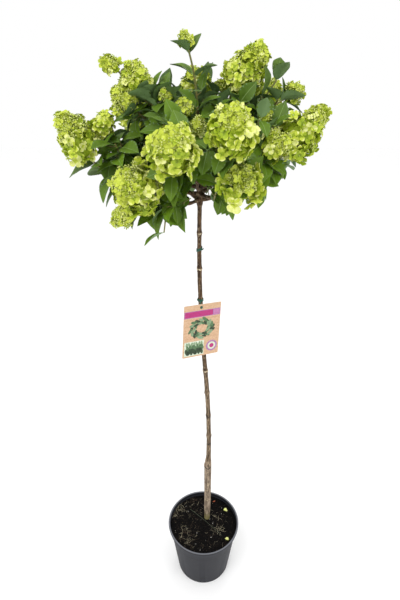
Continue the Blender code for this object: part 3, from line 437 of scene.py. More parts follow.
masses = {
    "left": plan(
        "second", 190, (-0.080, 0.002, 1.328),
        head(-0.238, -0.045, 1.417, 200, 62, 0.100, 0.036, 202),
        head(-0.193, -0.020, 1.434, 30, 60, 0.044, 0.023, 43),
        leafy(-0.178, -0.062, 1.350, 215, -8, 20),
        leafy(-0.165, 0.035, 1.372, 165, 5, 205),
    ),
    "lower_left": plan(
        "first", 236, (-0.050, -0.042, 1.296),
        leafy(-0.138, -0.060, 1.312, 200, -10, 168),
        head(-0.127, -0.124, 1.345, 236, 30, 0.102, 0.047, 116),
        head(-0.158, -0.114, 1.286, 215, -18, 0.044, 0.021, 181),
        leafy(-0.076, -0.120, 1.290, 258, -20, 189),
    ),
    "front": plan(
        "third", 262, (-0.018, -0.052, 1.346),
        head(-0.056, -0.188, 1.429, 262, 40, 0.104, 0.046, 152),
        head(0.041, -0.172, 1.455, 288, 50, 0.102, 0.048, 240),
        head(-0.014, -0.098, 1.446, 255, 70, 0.036, 0.016, 209),
        leafy(-0.074, -0.085, 1.440, 235, 45, 209),
    ),
    "lower_right": plan(
        "second", 296, (0.022, -0.042, 1.308),
        leafy(0.108, -0.082, 1.330, 325, 0, 9),
        head(0.066, -0.142, 1.364, 300, 32, 0.086, 0.040, 158),
        leafy(0.012, -0.112, 1.314, 268, -15, 206),
    ),
    "right": plan(
        "first", 4, (0.060, 0.012, 1.320),
        head(0.182, -0.018, 1.420, 4, 42, 0.116, 0.042, 116),
        head(0.131, -0.060, 1.406, 325, 25, 0.054, 0.027, 36),
        leafy(0.158, 0.024, 1.344, 5, -5, 139),
        leafy(0.104, -0.038, 1.446, 330, 50, 248),
    ),
    "upper_right": plan(
        "third", 36, (0.046, 0.052, 1.376),
        head(0.080, 0.050, 1.519, 12, 54, 0.110, 0.041, 171),
        leafy(0.138, 0.044, 1.510, 15, 62, 238),
        head(0.172, 0.046, 1.482, 20, 30, 0.040, 0.018, 242),
        leafy(0.062, -0.028, 1.478, 300, 50, 159),
    ),
    "upper_left": plan(
        "third", 160, (-0.066, 0.030, 1.378),
        head(-0.133, 0.022, 1.503, 150, 74, 0.066, 0.034, 61),
        head(-0.176, 0.012, 1.532, 190, 40, 0.034, 0.016, 184),
        head(-0.152, -0.020, 1.476, 200, 42, 0.050, 0.022, 249),
        leafy(-0.074, -0.024, 1.478, 250, 60, 26),
    ),
    "top": plan(
        "crown", 90, (-0.012, 0.022, 1.380),
        head(-0.021, 0.102, 1.480, 98, 66, 0.088, 0.039, 129),
        head(-0.038, 0.004, 1.572, 200, 70, 0.026, 0.013, 140),
        head(-0.042, -0.030, 1.466, 250, 72, 0.034, 0.015, 63),
        leafy(0.024, 0.050, 1.484, 45, 65, 136),
        leafy(-0.058, 0.056, 1.468, 150, 60, 73),
    ),
    "back_left": plan(
        "first", 126, (-0.066, 0.084, 1.324),
        head(-0.160, 0.150, 1.440, 140, 38, 0.116, 0.046, 230),
        head(-0.110, 0.192, 1.350, 122, 10, 0.096, 0.043, 245),
        leafy(-0.174, 0.100, 1.356, 160, 0, 127),
        leafy(-0.100, 0.100, 1.462, 130, 55, 25),
    ),
    "back": plan(
        "fourth", 94, (-0.014, 0.094, 1.358),
        head(-0.016, 0.226, 1.428, 94, 36, 0.116, 0.047, 208),
        leafy(0.036, 0.164, 1.462, 75, 45, 240),
        leafy(-0.006, 0.186, 1.318, 88, -20, 44),
    ),
    "back_right": plan(
        "second", 56, (0.048, 0.086, 1.330),
        head(0.128, 0.158, 1.444, 48, 38, 0.118, 0.046, 36),
        head(0.098, 0.196, 1.345, 62, 6, 0.092, 0.041, 70),
        leafy(0.172, 0.092, 1.360, 22, 2, 111),
        leafy(0.094, 0.100, 1.460, 45, 55, 210),
    ),
}

# How shoots, twigs and leaf pairs grow: the same rule and seeds as the frame's solids

growth = {
    "seed": 61,
    "stemTaper": (0.96, 0.85),
    "stemSides": 6,
    "shootFoot": 0.0024,
    "shootTip": 0.0017,
    "shootSides": 3,
    "shootStation": 0.03,
    "onwards": 0.5,
    "leaveEase": 0.28,
    "arriveEase": 0.38,
    "forkStart": 0.006,
    "forkStep": 0.0055,
    "nodeSpacing": 0.035,
    "nodeSpread": 0.12,
    "firstPair": 0.011,
    "lastPair": 0.02,
    "pairOffset": 0.0016,
    "twigLength": 0.05,
    "twigLengthSpread": 0.2,
    "twigChance": 0.5,
    "twigReach": 0.85,
    "twigRadii": (0.0018, 0.0016, 0.0014),
    "twigSideways": 0.8,
    "twigOnwards": 0.6,
    "twigRises": (up * 0.15, up * 0.2),
    "twigBare": 0.3,
    "twigSpacing": 0.6,
    "twigGuard": 1.5,
}
leafPlan = {
    "length": 0.07,
    "width": 0.04,
    "corners": (
        (-0.011, 0.0, 0.0),
        (0.38, 1.0, 0.085),
        (0.71, 0.76, 0.055),
        (1.0, 0.0, 0.0),
        (0.71, -0.76, 0.055),
        (0.38, -1.0, 0.085),
    ),
    "thickest": 0.16,
    "sizes": {"first": 0.95, "smallShoot": 0.72, "twig": 0.8, "full": 1.0},
    "sizeStep": 0.12,
    "sizeSpread": 0.1,
    "widthSpread": 0.08,
    "droopTop": 0.1,
    "droopLow": 0.95,
    "droopSpread": 0.4,
    "droopBias": 0.3,
    "droopHeights": (1.3, 1.48),
    "sideways": 0.86,
    "lean": 0.5,
    "tipLean": 1.0,
    "looksUp": up * 0.75,
    "looksOut": 0.5,
    "looksAside": 0.7,
    "tries": 7,
    "tryLean": 0.16,
    "tryShrink": 0.05,
    "tryTurns": (0.5, 0.25),
    "guardThickness": 0.0026,
    "guardStart": 0.18,
    "guardSpread": 1.04,
}
headPlan = {
    "shoulder": 0.28,
    "footShare": 0.42,
    "fall": 0.8,
    "fallPower": 1.5,
    "core": 0.35,
    "small": 0.045,
    "clear": (-0.04, 1.02, 0.97),
    "shown": 1.5,
}
crownSpace = {
    "middle": Vector((-0.011, 0.018, 1.37)),
    "bottom": 1.236,
    "top": 1.598,
    "slack": 0.012,
    "skirtStart": 0.02,
    "skirtRise": 0.64,
    "skirtFall": 0.31,
    "forkHalfWidth": 0.021,
    "forkHigh": 1.296,
    "forkRise": 0.32,
}


def massStem(mass):
    path = boughPath(mass)
    onwards = (path[-1] - path[-2]).normalized()
    start = path[-1] + onwards * seatGap
    length = growth["forkStart"] + growth["forkStep"] * len(mass["shoots"])
    return start, start + onwards * length, onwards


def headFoot(shoot):
    axis = compassDirection(shoot["compass"], shoot["rise"])
    return shoot["middle"] - axis * (shoot["length"] * 0.5), axis


def shootGuides(mass, shoot):
    start, end, onwards = massStem(mass)
    root = start + onwards * (growth["forkStart"] + growth["forkStep"] * mass["shoots"].index(shoot))
    foot, axis = headFoot(shoot)
    reach = (foot - root).length
    leave = (onwards * growth["onwards"] + (foot - root).normalized()).normalized()
    early = root + leave * reach * growth["leaveEase"]
    late = foot - axis * reach * growth["arriveEase"]
    return root, early, late, foot


def shootPath(mass, shoot):
    guides = shootGuides(mass, shoot)
    reach = (guides[3] - guides[0]).length
    return curvePoints(guides, max(4, int(reach / growth["shootStation"]) + 1))


def shootRadius(share):
    return growth["shootFoot"] + (growth["shootTip"] - growth["shootFoot"]) * share


def leafWays(place, ahead, sideways, lean, chance):
    low, high = leafPlan["droopHeights"]
    lift = clamped((place.z - low) / (high - low))
    droop = leafPlan["droopLow"] + (leafPlan["droopTop"] - leafPlan["droopLow"]) * lift
    droop += leafPlan["droopSpread"] * (chance.random() - leafPlan["droopBias"])
    pointsTo = (sideways * leafPlan["sideways"] + ahead * lean).normalized()
    pointsTo = (pointsTo - up * droop).normalized()
    outwards = (place - crownSpace["middle"]).normalized()
    aside = compassDirection(360.0 * chance.random(), 0.0)
    looks = leafPlan["looksUp"] + outwards * leafPlan["looksOut"]
    looks += aside * leafPlan["looksAside"] * chance.random()
    looks = (looks - pointsTo * looks.dot(pointsTo)).normalized()
    return pointsTo, looks


def leafOutline(leaf):
    across = leaf["pointsTo"].cross(leaf["looks"]).normalized()
    corners = []
    for forth, out, rise in leafPlan["corners"]:
        corner = leaf["pointsTo"] * (forth * leaf["length"])
        corner = corner + across * (out * leaf["width"] / 2) + leaf["looks"] * (rise * leaf["length"])
        corners.append(leaf["place"] + corner)
    return corners


def leafSolid(outline, looks, thickness):
    rib = outline[0].lerp(outline[3], leafPlan["thickest"])
    points = [*outline, rib + looks * (thickness / 2), rib - looks * (thickness / 2)]
    faces = []
    for k in range(6):
        after = (k + 1) % 6
        faces += [(k, after, 6), (after, k, 7)]
    return points, faces


def headRadius(share):
    if share < headPlan["shoulder"]:
        rise = math.sin(share / headPlan["shoulder"] * math.pi / 2)
        return headPlan["footShare"] + (1.0 - headPlan["footShare"]) * rise
    fall = (share - headPlan["shoulder"]) / (1.0 - headPlan["shoulder"])
    return 1.0 - headPlan["fall"] * fall ** headPlan["fallPower"]


def outsideCrown(point):  # over the crown's top or under its skirt, which is higher on the right
    skirt = crownSpace["bottom"] + crownSpace["skirtRise"] * max(0.0, point.x - crownSpace["skirtStart"])
    skirt -= crownSpace["skirtFall"] * max(0.0, point.y)
    return point.z > crownSpace["top"] or point.z < max(skirt, crownSpace["bottom"])


def hidesFork(point):  # before the trunk's bare head, seen from the front and above
    before = trunkTop.y - point.y
    near = abs(point.x - trunkTop.x) < crownSpace["forkHalfWidth"]
    return near and before > 0.0 and point.z < crownSpace["forkHigh"] + crownSpace["forkRise"] * before


def segmentDistance(point, a, b):
    span = b - a
    share = clamped((point - a).dot(span) / max(span.length_squared, 1e-12))
    return (point - a - span * share).length


def shootTubes(mass):
    start, end, onwards = massStem(mass)
    radii = [boughShape["tipRadius"] * share for share in growth["stemTaper"]]
    tubes = [tube([start, end], radii, growth["stemSides"])]
    for shoot in mass["shoots"]:
        path = shootPath(mass, shoot)
        if shoot["length"]:
            foot, axis = headFoot(shoot)
            path = path + [foot + axis * (shoot["length"] * headPlan["core"])]
        last = len(path) - 1
        tubes.append(tube(path, [shootRadius(i / last) for i in range(len(path))], growth["shootSides"]))
    return tubes


def treeOf(shapes):
    points, faces = [], []
    for somePoints, someFaces in shapes:
        first = len(points)
        points += somePoints
        faces += [tuple(first + i for i in face) for face in someFaces]
    return BVHTree.FromPolygons(points, faces)


def leafCentre(outline):
    return (outline[0] + outline[1] + outline[3] + outline[5]) / 4


def guardOf(outline, looks, whole):
    middle = leafCentre(outline)
    wide = [middle + (point - middle) * leafPlan["guardSpread"] for point in outline]
    if not whole:
        wide[0] = wide[0].lerp(wide[3], leafPlan["guardStart"])
    return BVHTree.FromPolygons(*leafSolid(wide, looks, leafPlan["guardThickness"]))


class Crown:
    # what already stands in the crown, so that a new leaf or twig touches none of it
    def __init__(self):
        limbs = [tube(*trunkStations(), trunkShape["sides"])]
        limbs += [tube(boughPath(mass), boughRadii(), boughShape["sides"]) for mass in masses.values()]
        self.limbs = treeOf(limbs)
        self.shoots = {name: treeOf(shootTubes(mass)) for name, mass in masses.items()}
        self.spans = {}
        self.heads = []
        for name, mass in masses.items():
            paths = [shootPath(mass, shoot) for shoot in mass["shoots"]]
            self.spans[name] = [span for path in paths for span in zip(path, path[1:])]
            for shoot in mass["shoots"]:
                if shoot["length"]:
                    shows = (shoot["middle"] - crownSpace["middle"]).normalized()
                    self.heads.append((*headFoot(shoot), shoot["length"], shoot["radius"], shows))
        self.leaves = []
        self.twigs = []

    def inSpace(self, name, point):
        distances = {}
        for other, spans in self.spans.items():
            distances[other] = min(segmentDistance(point, a, b) for a, b in spans)
        return distances[name] <= min(distances.values()) + crownSpace["slack"]

    def clearsHeads(self, points):  # out of every head, and off the side that it shows outwards
        low, high, near = headPlan["clear"]
        for foot, axis, length, radius, shows in self.heads:
            for point in points:
                share = (point - foot).dot(axis) / length
                if low < share < high:
                    aside = point - foot - axis * (share * length)
                    limit = headRadius(clamped(share)) * radius
                    if aside.length < limit * near:
                        return False
                    if aside.length < limit * headPlan["shown"] and aside.dot(shows) > 0.0:
                        return False
        return True

    def meetsOthers(self, name, shape):  # it touches a limb, or a shoot or twig of another mass
        if shape.overlap(self.limbs):
            return True
        trees = [*self.shoots.items(), *self.twigs]
        return any(shape.overlap(tree) for other, tree in trees if other != name)

    def leafFits(self, name, leaf):
        outline = leafOutline(leaf)
        edge = outline[1:]
        centre = leafCentre(outline)
        samples = edge + [(a + b) / 2 for a, b in zip(edge, edge[1:])] + [centre]
        if any(outsideCrown(point) or hidesFork(point) for point in samples):
            return False
        if not self.clearsHeads(samples) or not self.inSpace(name, centre):
            return False
        whole = guardOf(outline, leaf["looks"], True)
        if self.meetsOthers(name, whole):
            return False
        blade = guardOf(outline, leaf["looks"], False)
        for other, place, reach, otherWhole, otherBlade in self.leaves:
            if (place - centre).length > reach + leaf["length"]:
                continue  # too far apart to meet
            if other == name:
                if blade.overlap(otherBlade):
                    return False
            elif whole.overlap(otherWhole):
                return False
        if blade.overlap(self.shoots[name]):
            return False
        self.leaves.append((name, centre, leaf["length"], whole, blade))
        return True

    def twigFits(self, name, path):
        if not self.clearsHeads(path[1:]) or not self.inSpace(name, path[-1]):
            return False
        shape = treeOf([tube(path, [radius * growth["twigGuard"] for radius in growth["twigRadii"]], 3)])
        if self.meetsOthers(name, shape):
            return False
        if any(shape.overlap(whole) for other, _, _, whole, _ in self.leaves if other != name):
            return False
        self.twigs.append((name, shape))
        return True


def tryLeaf(crown, name, place, ahead, angle, lean, size, chance):
    firstTurn, moreTurn = leafPlan["tryTurns"]
    for attempt in range(leafPlan["tries"]):
        turn = angle + (chance.random() - 0.5) * (firstTurn + moreTurn * attempt)
        grown = size * (1.0 - leafPlan["tryShrink"] * attempt)
        lower = lean - leafPlan["tryLean"] * attempt
        pointsTo, looks = leafWays(place, ahead, spoke(ahead, turn), lower, chance)
        width = leafPlan["width"] * grown * vary(chance, leafPlan["widthSpread"])
        leaf = {"place": place, "pointsTo": pointsTo, "looks": looks, "length": leafPlan["length"] * grown}
        leaf["width"] = width
        if crown.leafFits(name, leaf):
            return leaf
    return None


def twigFrom(place, ahead, angle, chance):
    sideways = spoke(ahead, angle)
    half = growth["twigLength"] * vary(chance, growth["twigLengthSpread"]) / 2
    lowWay = sideways * growth["twigSideways"] + ahead * growth["twigOnwards"] + growth["twigRises"][0]
    lowWay = lowWay.normalized()
    highWay = (lowWay + growth["twigRises"][1]).normalized()
    elbow = place + lowWay * half
    return [place, elbow, elbow + highWay * half]


def growPairs(crown, name, path, size, onTwig, chance, found):
    total = pathLength(path)
    turn = chance.random() * math.pi
    distance = total - (growth["pairOffset"] * 2 if onTwig else growth["firstPair"])
    last = growth["twigLength"] * growth["twigBare"] if onTwig else growth["lastPair"]
    spacing = growth["nodeSpacing"] * growth["twigSpacing"] if onTwig else growth["nodeSpacing"]
    lean = leafPlan["tipLean"]
    while distance > last:
        for side in (1, -1):
            angle = turn + math.pi * (side > 0)
            place, ahead = along(path, distance + growth["pairOffset"] * side)
            mayFork = not onTwig and distance < total * growth["twigReach"]
            if mayFork and chance.random() < growth["twigChance"]:
                twig = twigFrom(place, ahead, angle, chance)
                if crown.twigFits(name, twig):
                    found["twigs"].append(twig)
                    growPairs(crown, name, twig, leafPlan["sizes"]["twig"], True, chance, found)
                    continue
            grownSize = size * vary(chance, leafPlan["sizeSpread"])
            leaf = tryLeaf(crown, name, place, ahead, angle, lean, grownSize, chance)
            if leaf:
                found["leaves"].append(leaf)
        lean = leafPlan["lean"]
        turn += math.pi / 2
        distance -= spacing * vary(chance, growth["nodeSpread"])
        size = min(leafPlan["sizes"]["full"], size + leafPlan["sizeStep"])


def growMass(crown, name):
    found = {"leaves": [], "twigs": [], "spurs": [], "fineLeaves": []}
    for i, shoot in enumerate(masses[name]["shoots"]):
        chance = random.Random(f"{growth['seed']} {name} {i} {shoot['seed']}")
        size = leafPlan["sizes"]["smallShoot" if shoot["length"] < headPlan["small"] else "first"]
        growPairs(crown, name, shootPath(masses[name], shoot), size, False, chance, found)
    return found


# Finer growth between the leaves of the rule: short spurs with two or three small leaves

spurs = {
    "step": 0.013,
    "length": 0.02,
    "lengthSpread": 0.45,
    "size": 0.6,
    "sizeSpread": 0.22,
    "radii": (0.0011, 0.0009, 0.0007),
    "turn": 2.4,  # from one spur to the next, round what carries them
    "onwards": 0.4,
    "rises": (0.1, 0.12),
    "tips": (0.0, 2.2, 4.2),  # turns of the leaves round a spur's end
    "inside": Vector((0.175, 0.175, 0.115)),  # no spur grows outside these half sizes of the crown
    "skirt": (-0.03, 1.285, 0.45),  # in front of this, none stays below this height, which rises to the right
    "bareTip": 0.006,
    "bareFoot": 0.008,
    "offBough": 0.0062,
    "bareBough": 0.026,
}


def deepInside(place):
    out, inside = place - crownSpace["middle"], spurs["inside"]
    return (out.x / inside.x) ** 2 + (out.y / inside.y) ** 2 + (out.z / inside.z) ** 2 < 1.0


def hangsLow(place):
    front, height, rise = spurs["skirt"]
    return place.y < front and place.z < height + rise * max(0.0, place.x)


def growSpurs(crown, name, found):
    chance = random.Random(f"{growth['seed']} {name} spurs")
    paths = [shootPath(masses[name], shoot) for shoot in masses[name]["shoots"]] + found["twigs"]
    paths = [(path, 0.0, spurs["bareFoot"]) for path in paths]
    paths.append((boughPath(masses[name]), spurs["offBough"], spurs["bareBough"]))
    for path, offset, bare in paths:
        distance = pathLength(path) - spurs["bareTip"]
        angle = anyTurn(chance)
        while distance > bare:
            place, ahead = along(path, distance)
            sideways = spoke(ahead, angle)
            reach = spurs["length"] * vary(chance, spurs["lengthSpread"]) / 2
            lowRise, highRise = (up * rise for rise in spurs["rises"])
            way = (sideways + ahead * spurs["onwards"] + lowRise).normalized()
            twig = [place + way * offset, place + way * (offset + reach)]
            twig.append(place + way * offset + (way + highRise).normalized() * (reach * 2))
            leaves = []
            if deepInside(place) and crown.twigFits(name, twig):
                for turn in spurs["tips"]:
                    size = spurs["size"] * vary(chance, spurs["sizeSpread"])
                    leaf = tryLeaf(crown, name, twig[-1], way, turn + angle, leafPlan["lean"], size, chance)
                    if leaf:
                        leaves.append(leaf)
                if not leaves:
                    crown.twigs.pop()
                elif not hangsLow(twig[-1]):
                    found["spurs"].append([place] + twig[1:])
                    found["fineLeaves"] += leaves
            angle += spurs["turn"]
            distance -= spurs["step"]


sides = {  # the crown's masses by the side that they grow on
    "front": ("front", "lower_left", "lower_right"),
    "left": ("left", "upper_left"),
    "right": ("right", "upper_right"),
    "back": ("top", "back_left", "back", "back_right"),
}
crown = Crown()
grown = {name: growMass(crown, name) for name in masses}
ruleLeaves = sum(len(found["leaves"]) for found in grown.values())
for name in masses:
    growSpurs(crown, name, grown[name])
fineLeaves = sum(len(found["fineLeaves"]) for found in grown.values())
print("crown grown:", ruleLeaves, "leaves by the frame's rule and", fineLeaves, "smaller ones")


# Leaves: folded blades with toothed edges, sunk veins, a pale rib and a paler underside

leafForm = {
    "rows": {"large": 12, "small": 8},
    "petiole": 0.085,  # share of the leaf's length
    "petioleRadius": 0.0009,
    "ribHalf": 0.00055,
    "columns": (0.42, 0.76),  # shares of the half width, between rib and edge
    "veinSlant": 0.13,
    "quilt": 0.026,
    "fold": 0.105,
    "arch": 0.075,
    "tooth": 0.05,
    "edgeWave": 0.016,
    "thickness": 0.0005,
    "twist": 0.2,
}
# lit and shaded copies of one green, keyed by how much light reaches the leaf: painted light, where deep and
# dark are the lighter greens that lift the shade on inner leaves
leafGreens = {
    "deep": ((82, 110, 22), (98, 128, 30)),
    "dark": ((79, 106, 25), (93, 121, 33)),
    "middle": ((68, 92, 24), (82, 108, 32)),
    "bright": ((69, 92, 27), (84, 108, 37)),
}


def leafTemplate(rows):
    inner, outer = leafForm["columns"]
    spots = {"u": [], "v": [], "kind": []}
    index = {}

    def put(key, u, v, kind):
        index[key] = len(spots["u"])
        spots["u"].append(u)
        spots["v"].append(v)
        spots["kind"].append(kind)

    def slanted(u, v):  # veins run forwards as they leave the rib
        return u + leafForm["veinSlant"] * abs(v) * math.sin(math.pi * min(1.0, u * 1.05)) * (1.0 - u)

    put("foot", 0.0, 0.0, 0)
    put("tip", 1.0, 0.0, 0)
    for i in range(1, rows):
        u = i / rows
        for side in (-1, 1):
            put(("rib", i, side), u, 0.02 * side, 1)
            columns = (("inner", inner, 0), ("outer", outer, 0), ("edge", 1.0, 0), ("under", inner, 2))
            for name, v, kind in columns:
                put((name, i, side), slanted(u, v), v * side, kind)
        put(("keel", i), u, 0.0, 3)
    for i in range(rows):
        for side in (-1, 1):
            for k, share in enumerate((0.28, 0.55, 0.8)):
                u = slanted((i + share) / rows, 1.0)
                notch = 1.0 if k == 1 else 1.0 - leafForm["tooth"]
                put(("notch", i, side, k), u, side * notch, 0)
    faces, finishes = [], []

    def at(name, i, side):
        if i == 0:
            return index["foot"]
        if i == rows:
            return index["tip"]
        return index[("keel", i)] if name == "keel" else index[(name, i, side)]

    def lay(corners, side, which):
        kept = []
        for corner in corners:
            if corner not in kept:
                kept.append(corner)
        if len(kept) > 2:
            faces.append(tuple(kept if side > 0 else reversed(kept)))
            finishes.append(which)

    def between(near, far, i, side):  # the corners of a face between two rows that run along the leaf
        return [at(near, i, side), at(far, i, side), at(far, i + 1, side), at(near, i + 1, side)]

    for i in range(rows):
        for side in (-1, 1):
            notches = [index[("notch", i, side, k)] for k in range(3)]
            rim = [at("edge", i, side), *notches, at("edge", i + 1, side)]
            lay([at("outer", i, side), *rim, at("outer", i + 1, side)], side, "blade")
            lay(between("inner", "outer", i, side), side, "blade")
            lay(between("rib", "inner", i, side), side, "blade")
            lay([at("under", i, side), *rim, at("under", i + 1, side)], -side, "under")
            lay(between("keel", "under", i, side), -side, "under")
        lay([at("rib", i, -1), at("rib", i, 1), at("rib", i + 1, 1), at("rib", i + 1, -1)], 1, "rib")
    return {key: np.array(value, dtype=float) for key, value in spots.items()}, faces, finishes


leafTemplates = {size: leafTemplate(rows) for size, rows in leafForm["rows"].items()}
leafSurfaces = ["deep", "dark", "middle", "bright", "rib", "under"]


def bladeWidth(u):  # half width as a share of the greatest: round at the foot, drawn out at the tip
    u = np.clip(u, 0.0, 1.0)
    taper = 1.0 - 0.42 * np.clip((u - 0.62) / 0.38, 0.0, 1.0) ** 1.4
    return np.minimum(1.0, 2.65 * u**0.62 * (1.0 - u) ** 0.8 * taper)


def addLeaf(heap, leaf, size, green, chance):
    length, half = leaf["length"], leaf["width"] / 2
    petiole, rows = leafForm["petiole"], leafForm["rows"][size]
    spots, faces, finishes = leafTemplates[size]
    u, v, kind = spots["u"], spots["v"], spots["kind"]
    width = bladeWidth(u)
    x = (petiole + (1.0 - petiole) * u) * length
    y = v * width * half
    rib = kind == 1
    y = np.where(rib, np.sign(v) * leafForm["ribHalf"] * (1.0 - 0.7 * u), y)
    spread = np.abs(v)
    rise = leafForm["fold"] * length * width * (1.3 * spread - 0.45 * spread**2)
    rise += leafForm["arch"] * length * np.sin(math.pi * u) * (1.0 - 0.35 * u)
    row = rows * (u - leafForm["veinSlant"] * spread * np.sin(math.pi * u) * (1.0 - u))
    quilt = np.where(np.round(row) % 2 == 0, -1.0, 1.0) * (spread < 0.9)
    rise += leafForm["quilt"] * length * quilt * np.sin(math.pi * np.clip(spread, 0, 1)) * width * 0.5
    wave = leafForm["edgeWave"] * length * np.sin(u * 9.0 + anyTurn(chance)) * spread**3
    rise += wave * np.where(v > 0, 1.0, -0.8) * np.sin(math.pi * u)
    rise -= np.where(kind == 2, leafForm["thickness"], 0.0)
    rise -= np.where(kind == 3, leafForm["thickness"] * 2.6 * (1.0 - 0.6 * u), 0.0)
    rise -= np.where(rib, 0.0002, 0.0)
    twist = leafForm["twist"] * (2.0 * chance.random() - 1.0) * u
    y, rise = y * np.cos(twist) - rise * np.sin(twist), rise * np.cos(twist) + y * np.sin(twist)
    bend = leafForm["edgeWave"] * length * (2.0 * chance.random() - 1.0) * 2.0
    y = y + bend * np.sin(math.pi * u)
    across = np.array(leaf["pointsTo"].cross(leaf["looks"]).normalized())
    place, ahead, looks = (np.array(leaf[key]) for key in ("place", "pointsTo", "looks"))
    points = place + np.outer(x, ahead) - np.outer(y, across) + np.outer(rise, looks)
    which = [leafSurfaces.index(green if name == "blade" else name) for name in finishes]
    heap.add(points, faces, which)
    start = leaf["place"] - leaf["pointsTo"] * 0.001
    end = leaf["place"] + leaf["pointsTo"] * (length * (petiole + 0.03))
    radius = leafForm["petioleRadius"] * (0.7 + 0.3 * length / leafPlan["length"])
    path = [start, (start + end) / 2 - leaf["looks"] * 0.0006, end]
    heap.add(*tube(path, [radius * 1.25, radius, radius * 0.6], 5), leafSurfaces.index("rib"))


def leafSurface(colours):
    def sockets(wires):
        place = wires.place()
        mottle = place.cloud(70.0, 3.0)
        patches = place.cloud(16.0, 2.0)
        tone = (mottle * 0.5 + patches * 0.5).step(0.36, 0.64)
        return {
            "Base Color": tone.pick(*colours),
            "Roughness": 0.46 + mottle * 0.22,
            "Specular IOR Level": 0.3,
            "Subsurface Weight": 0.06,
            "Subsurface Radius": (0.002, 0.004, 0.001),
            "Subsurface Scale": 0.5,
            "Normal": place.cloud(900.0, 2.0).relief(0.12, 0.0004),
        }
    return sockets


leafLight = {  # painted light: a leaf's green follows how much light reaches it; inner and low leaves take the deep key, high and outer ones the bright key, and the deep greens are the lighter ones, which lifts their shade
    "outReach": 0.22,
    "out": 0.55,
    "height": 1.4,
    "high": 2.0,
    "spread": 0.5,
    "fine": 0.1,
    "limits": {"deep": 0.22, "dark": 0.55, "middle": 0.92},
}


def leafGreenFor(leaf, chance, fine):
    place = leaf["place"] + leaf["pointsTo"] * leaf["length"] * 0.5
    light = leafLight["out"] * ((place - crownSpace["middle"]).length / leafLight["outReach"])
    light += leafLight["high"] * (place.z - leafLight["height"])
    light += leafLight["spread"] * (chance.random() - 0.5) - (leafLight["fine"] if fine else 0.0)
    lit = [green for green, limit in leafLight["limits"].items() if light < limit]
    return lit[0] if lit else "bright"


smallShown = {  # small heads that show between the leaves, seen from the front
    "heads": (("front", 2), ("top", 2), ("upper_left", 2)),
    "towards": Vector((0.0, -0.2, 0.04)),
    "share": 0.42,  # of a leaf's length
}


def coversHead(leaf):
    centre = leafCentre(leafOutline(leaf))
    near = leaf["length"] * smallShown["share"]
    for name, i in smallShown["heads"]:
        middle = masses[name]["shoots"][i]["middle"]
        if segmentDistance(centre, middle, middle + smallShown["towards"]) < near:
            return True
    return False


ribSurface = grained(((112, 142, 78), (134, 158, 92)), (120.0,), (0.5, 0.1))
underSurface = grained(
    ((92, 120, 74), (116, 142, 92)), (90.0,), (0.62, 0.15), relief=(0.2, 0.0004), fine=(500.0, 2.0)
)
leafMaterials = [finish("leaf-" + name, leafSurface(colours)) for name, colours in leafGreens.items()]
leafMaterials += [finish("leaf-rib", ribSurface), finish("leaf-underside", underSurface)]
for side, names in sides.items():
    heap = Heap()
    for name in names:
        chance = random.Random(f"{name} leaf looks")
        for size, kind in (("large", "leaves"), ("small", "fineLeaves")):
            for leaf in grown[name][kind]:
                if not coversHead(leaf):
                    addLeaf(heap, leaf, size, leafGreenFor(leaf, chance, size == "small"), chance)
    piece = heap.piece("leaves_" + side, leafMaterials, 55.0)
    settle(piece, "foliage", *("foliage_" + name for name in names))
print("leaves made")


# Flower heads: spirals of four-part florets with clusters of buds between them

florets = {
    "reach": 0.0112,  # from a floret's middle to a sepal's tip
    "halfWidth": 0.0052,
    "spacing": 0.0112,
    "grids": {"large": (4, 4), "small": (3, 2)},  # a sepal's faces along and across
    "small": 0.74,  # the scale up to which a floret has the small grid
    "cup": 0.34,
    "curl": 0.16,
    "wobble": 1.5,
    "lobe": 0.36,  # a lobe's radius as a share of the head's
    "lobeSpacing": 1.55,  # in radii of a lobe
    "lobeHeight": 0.5,
    "lobeTilt": 0.85,
    "lump": 0.6,  # slow bulges and hollows, as a share of a lobe's radius
    "lumpRate": 36.0,
    "ends": (0.06, 0.9),  # where along the head its lowest florets stand, and how far the others reach
    "layers": ((0.82, 1.0), (0.62, 0.7)),  # depth as a share of the head's radius, and how densely filled
    "standOut": (0.24, 0.17),
    "gaps": 0.12,  # how readily the lower part has holes
    "gapRate": 62.0,
    "tipSpacing": 0.0061,
    "tipScale": 0.46,
    "tipDepth": 0.88,
    "core": 0.69,  # the lobed body under the florets, as a share of the head's radius
    "coreTip": 0.18,  # how much nearer it comes under the young part
    "coreGrid": (12, 18),
    "filled": 0.45,  # the noise over which a place stays empty, and how much less that is at the foot
    "lowGaps": 1.6,
    "scales": (1.08, 0.24, 0.14),  # at the foot, how much less at the tip, and by chance
    "lit": 0.3,  # painted light: what facing up adds to a floret's luck, so florets that face the light above are paler more often, and the luck that each colour needs
    "lemon": 0.86,
    "lime": 0.34,
    "stalk": 0.0005,
    "stalkFoot": 0.12,  # as a share of the head's length under the floret
    "underYoung": {"spacing": 1.5, "depth": 0.91, "scale": 1.6},
}
budForm = {"radius": 0.00142, "cluster": 0.0037, "count": 8, "stalk": 0.00035}
sepalSurfaces = ["lemon", "lime", "leafGreen", "shade", "stalk"]
sepalColours = {
    "lemon": ((227, 230, 156), (210, 217, 112)),
    "lime": ((194, 205, 78), (177, 192, 57)),
    "leafGreen": ((158, 179, 45), (142, 164, 37)),
    "shade": ((134, 156, 38), (118, 140, 32)),
    "stalk": ((154, 167, 78), (132, 149, 62)),
}


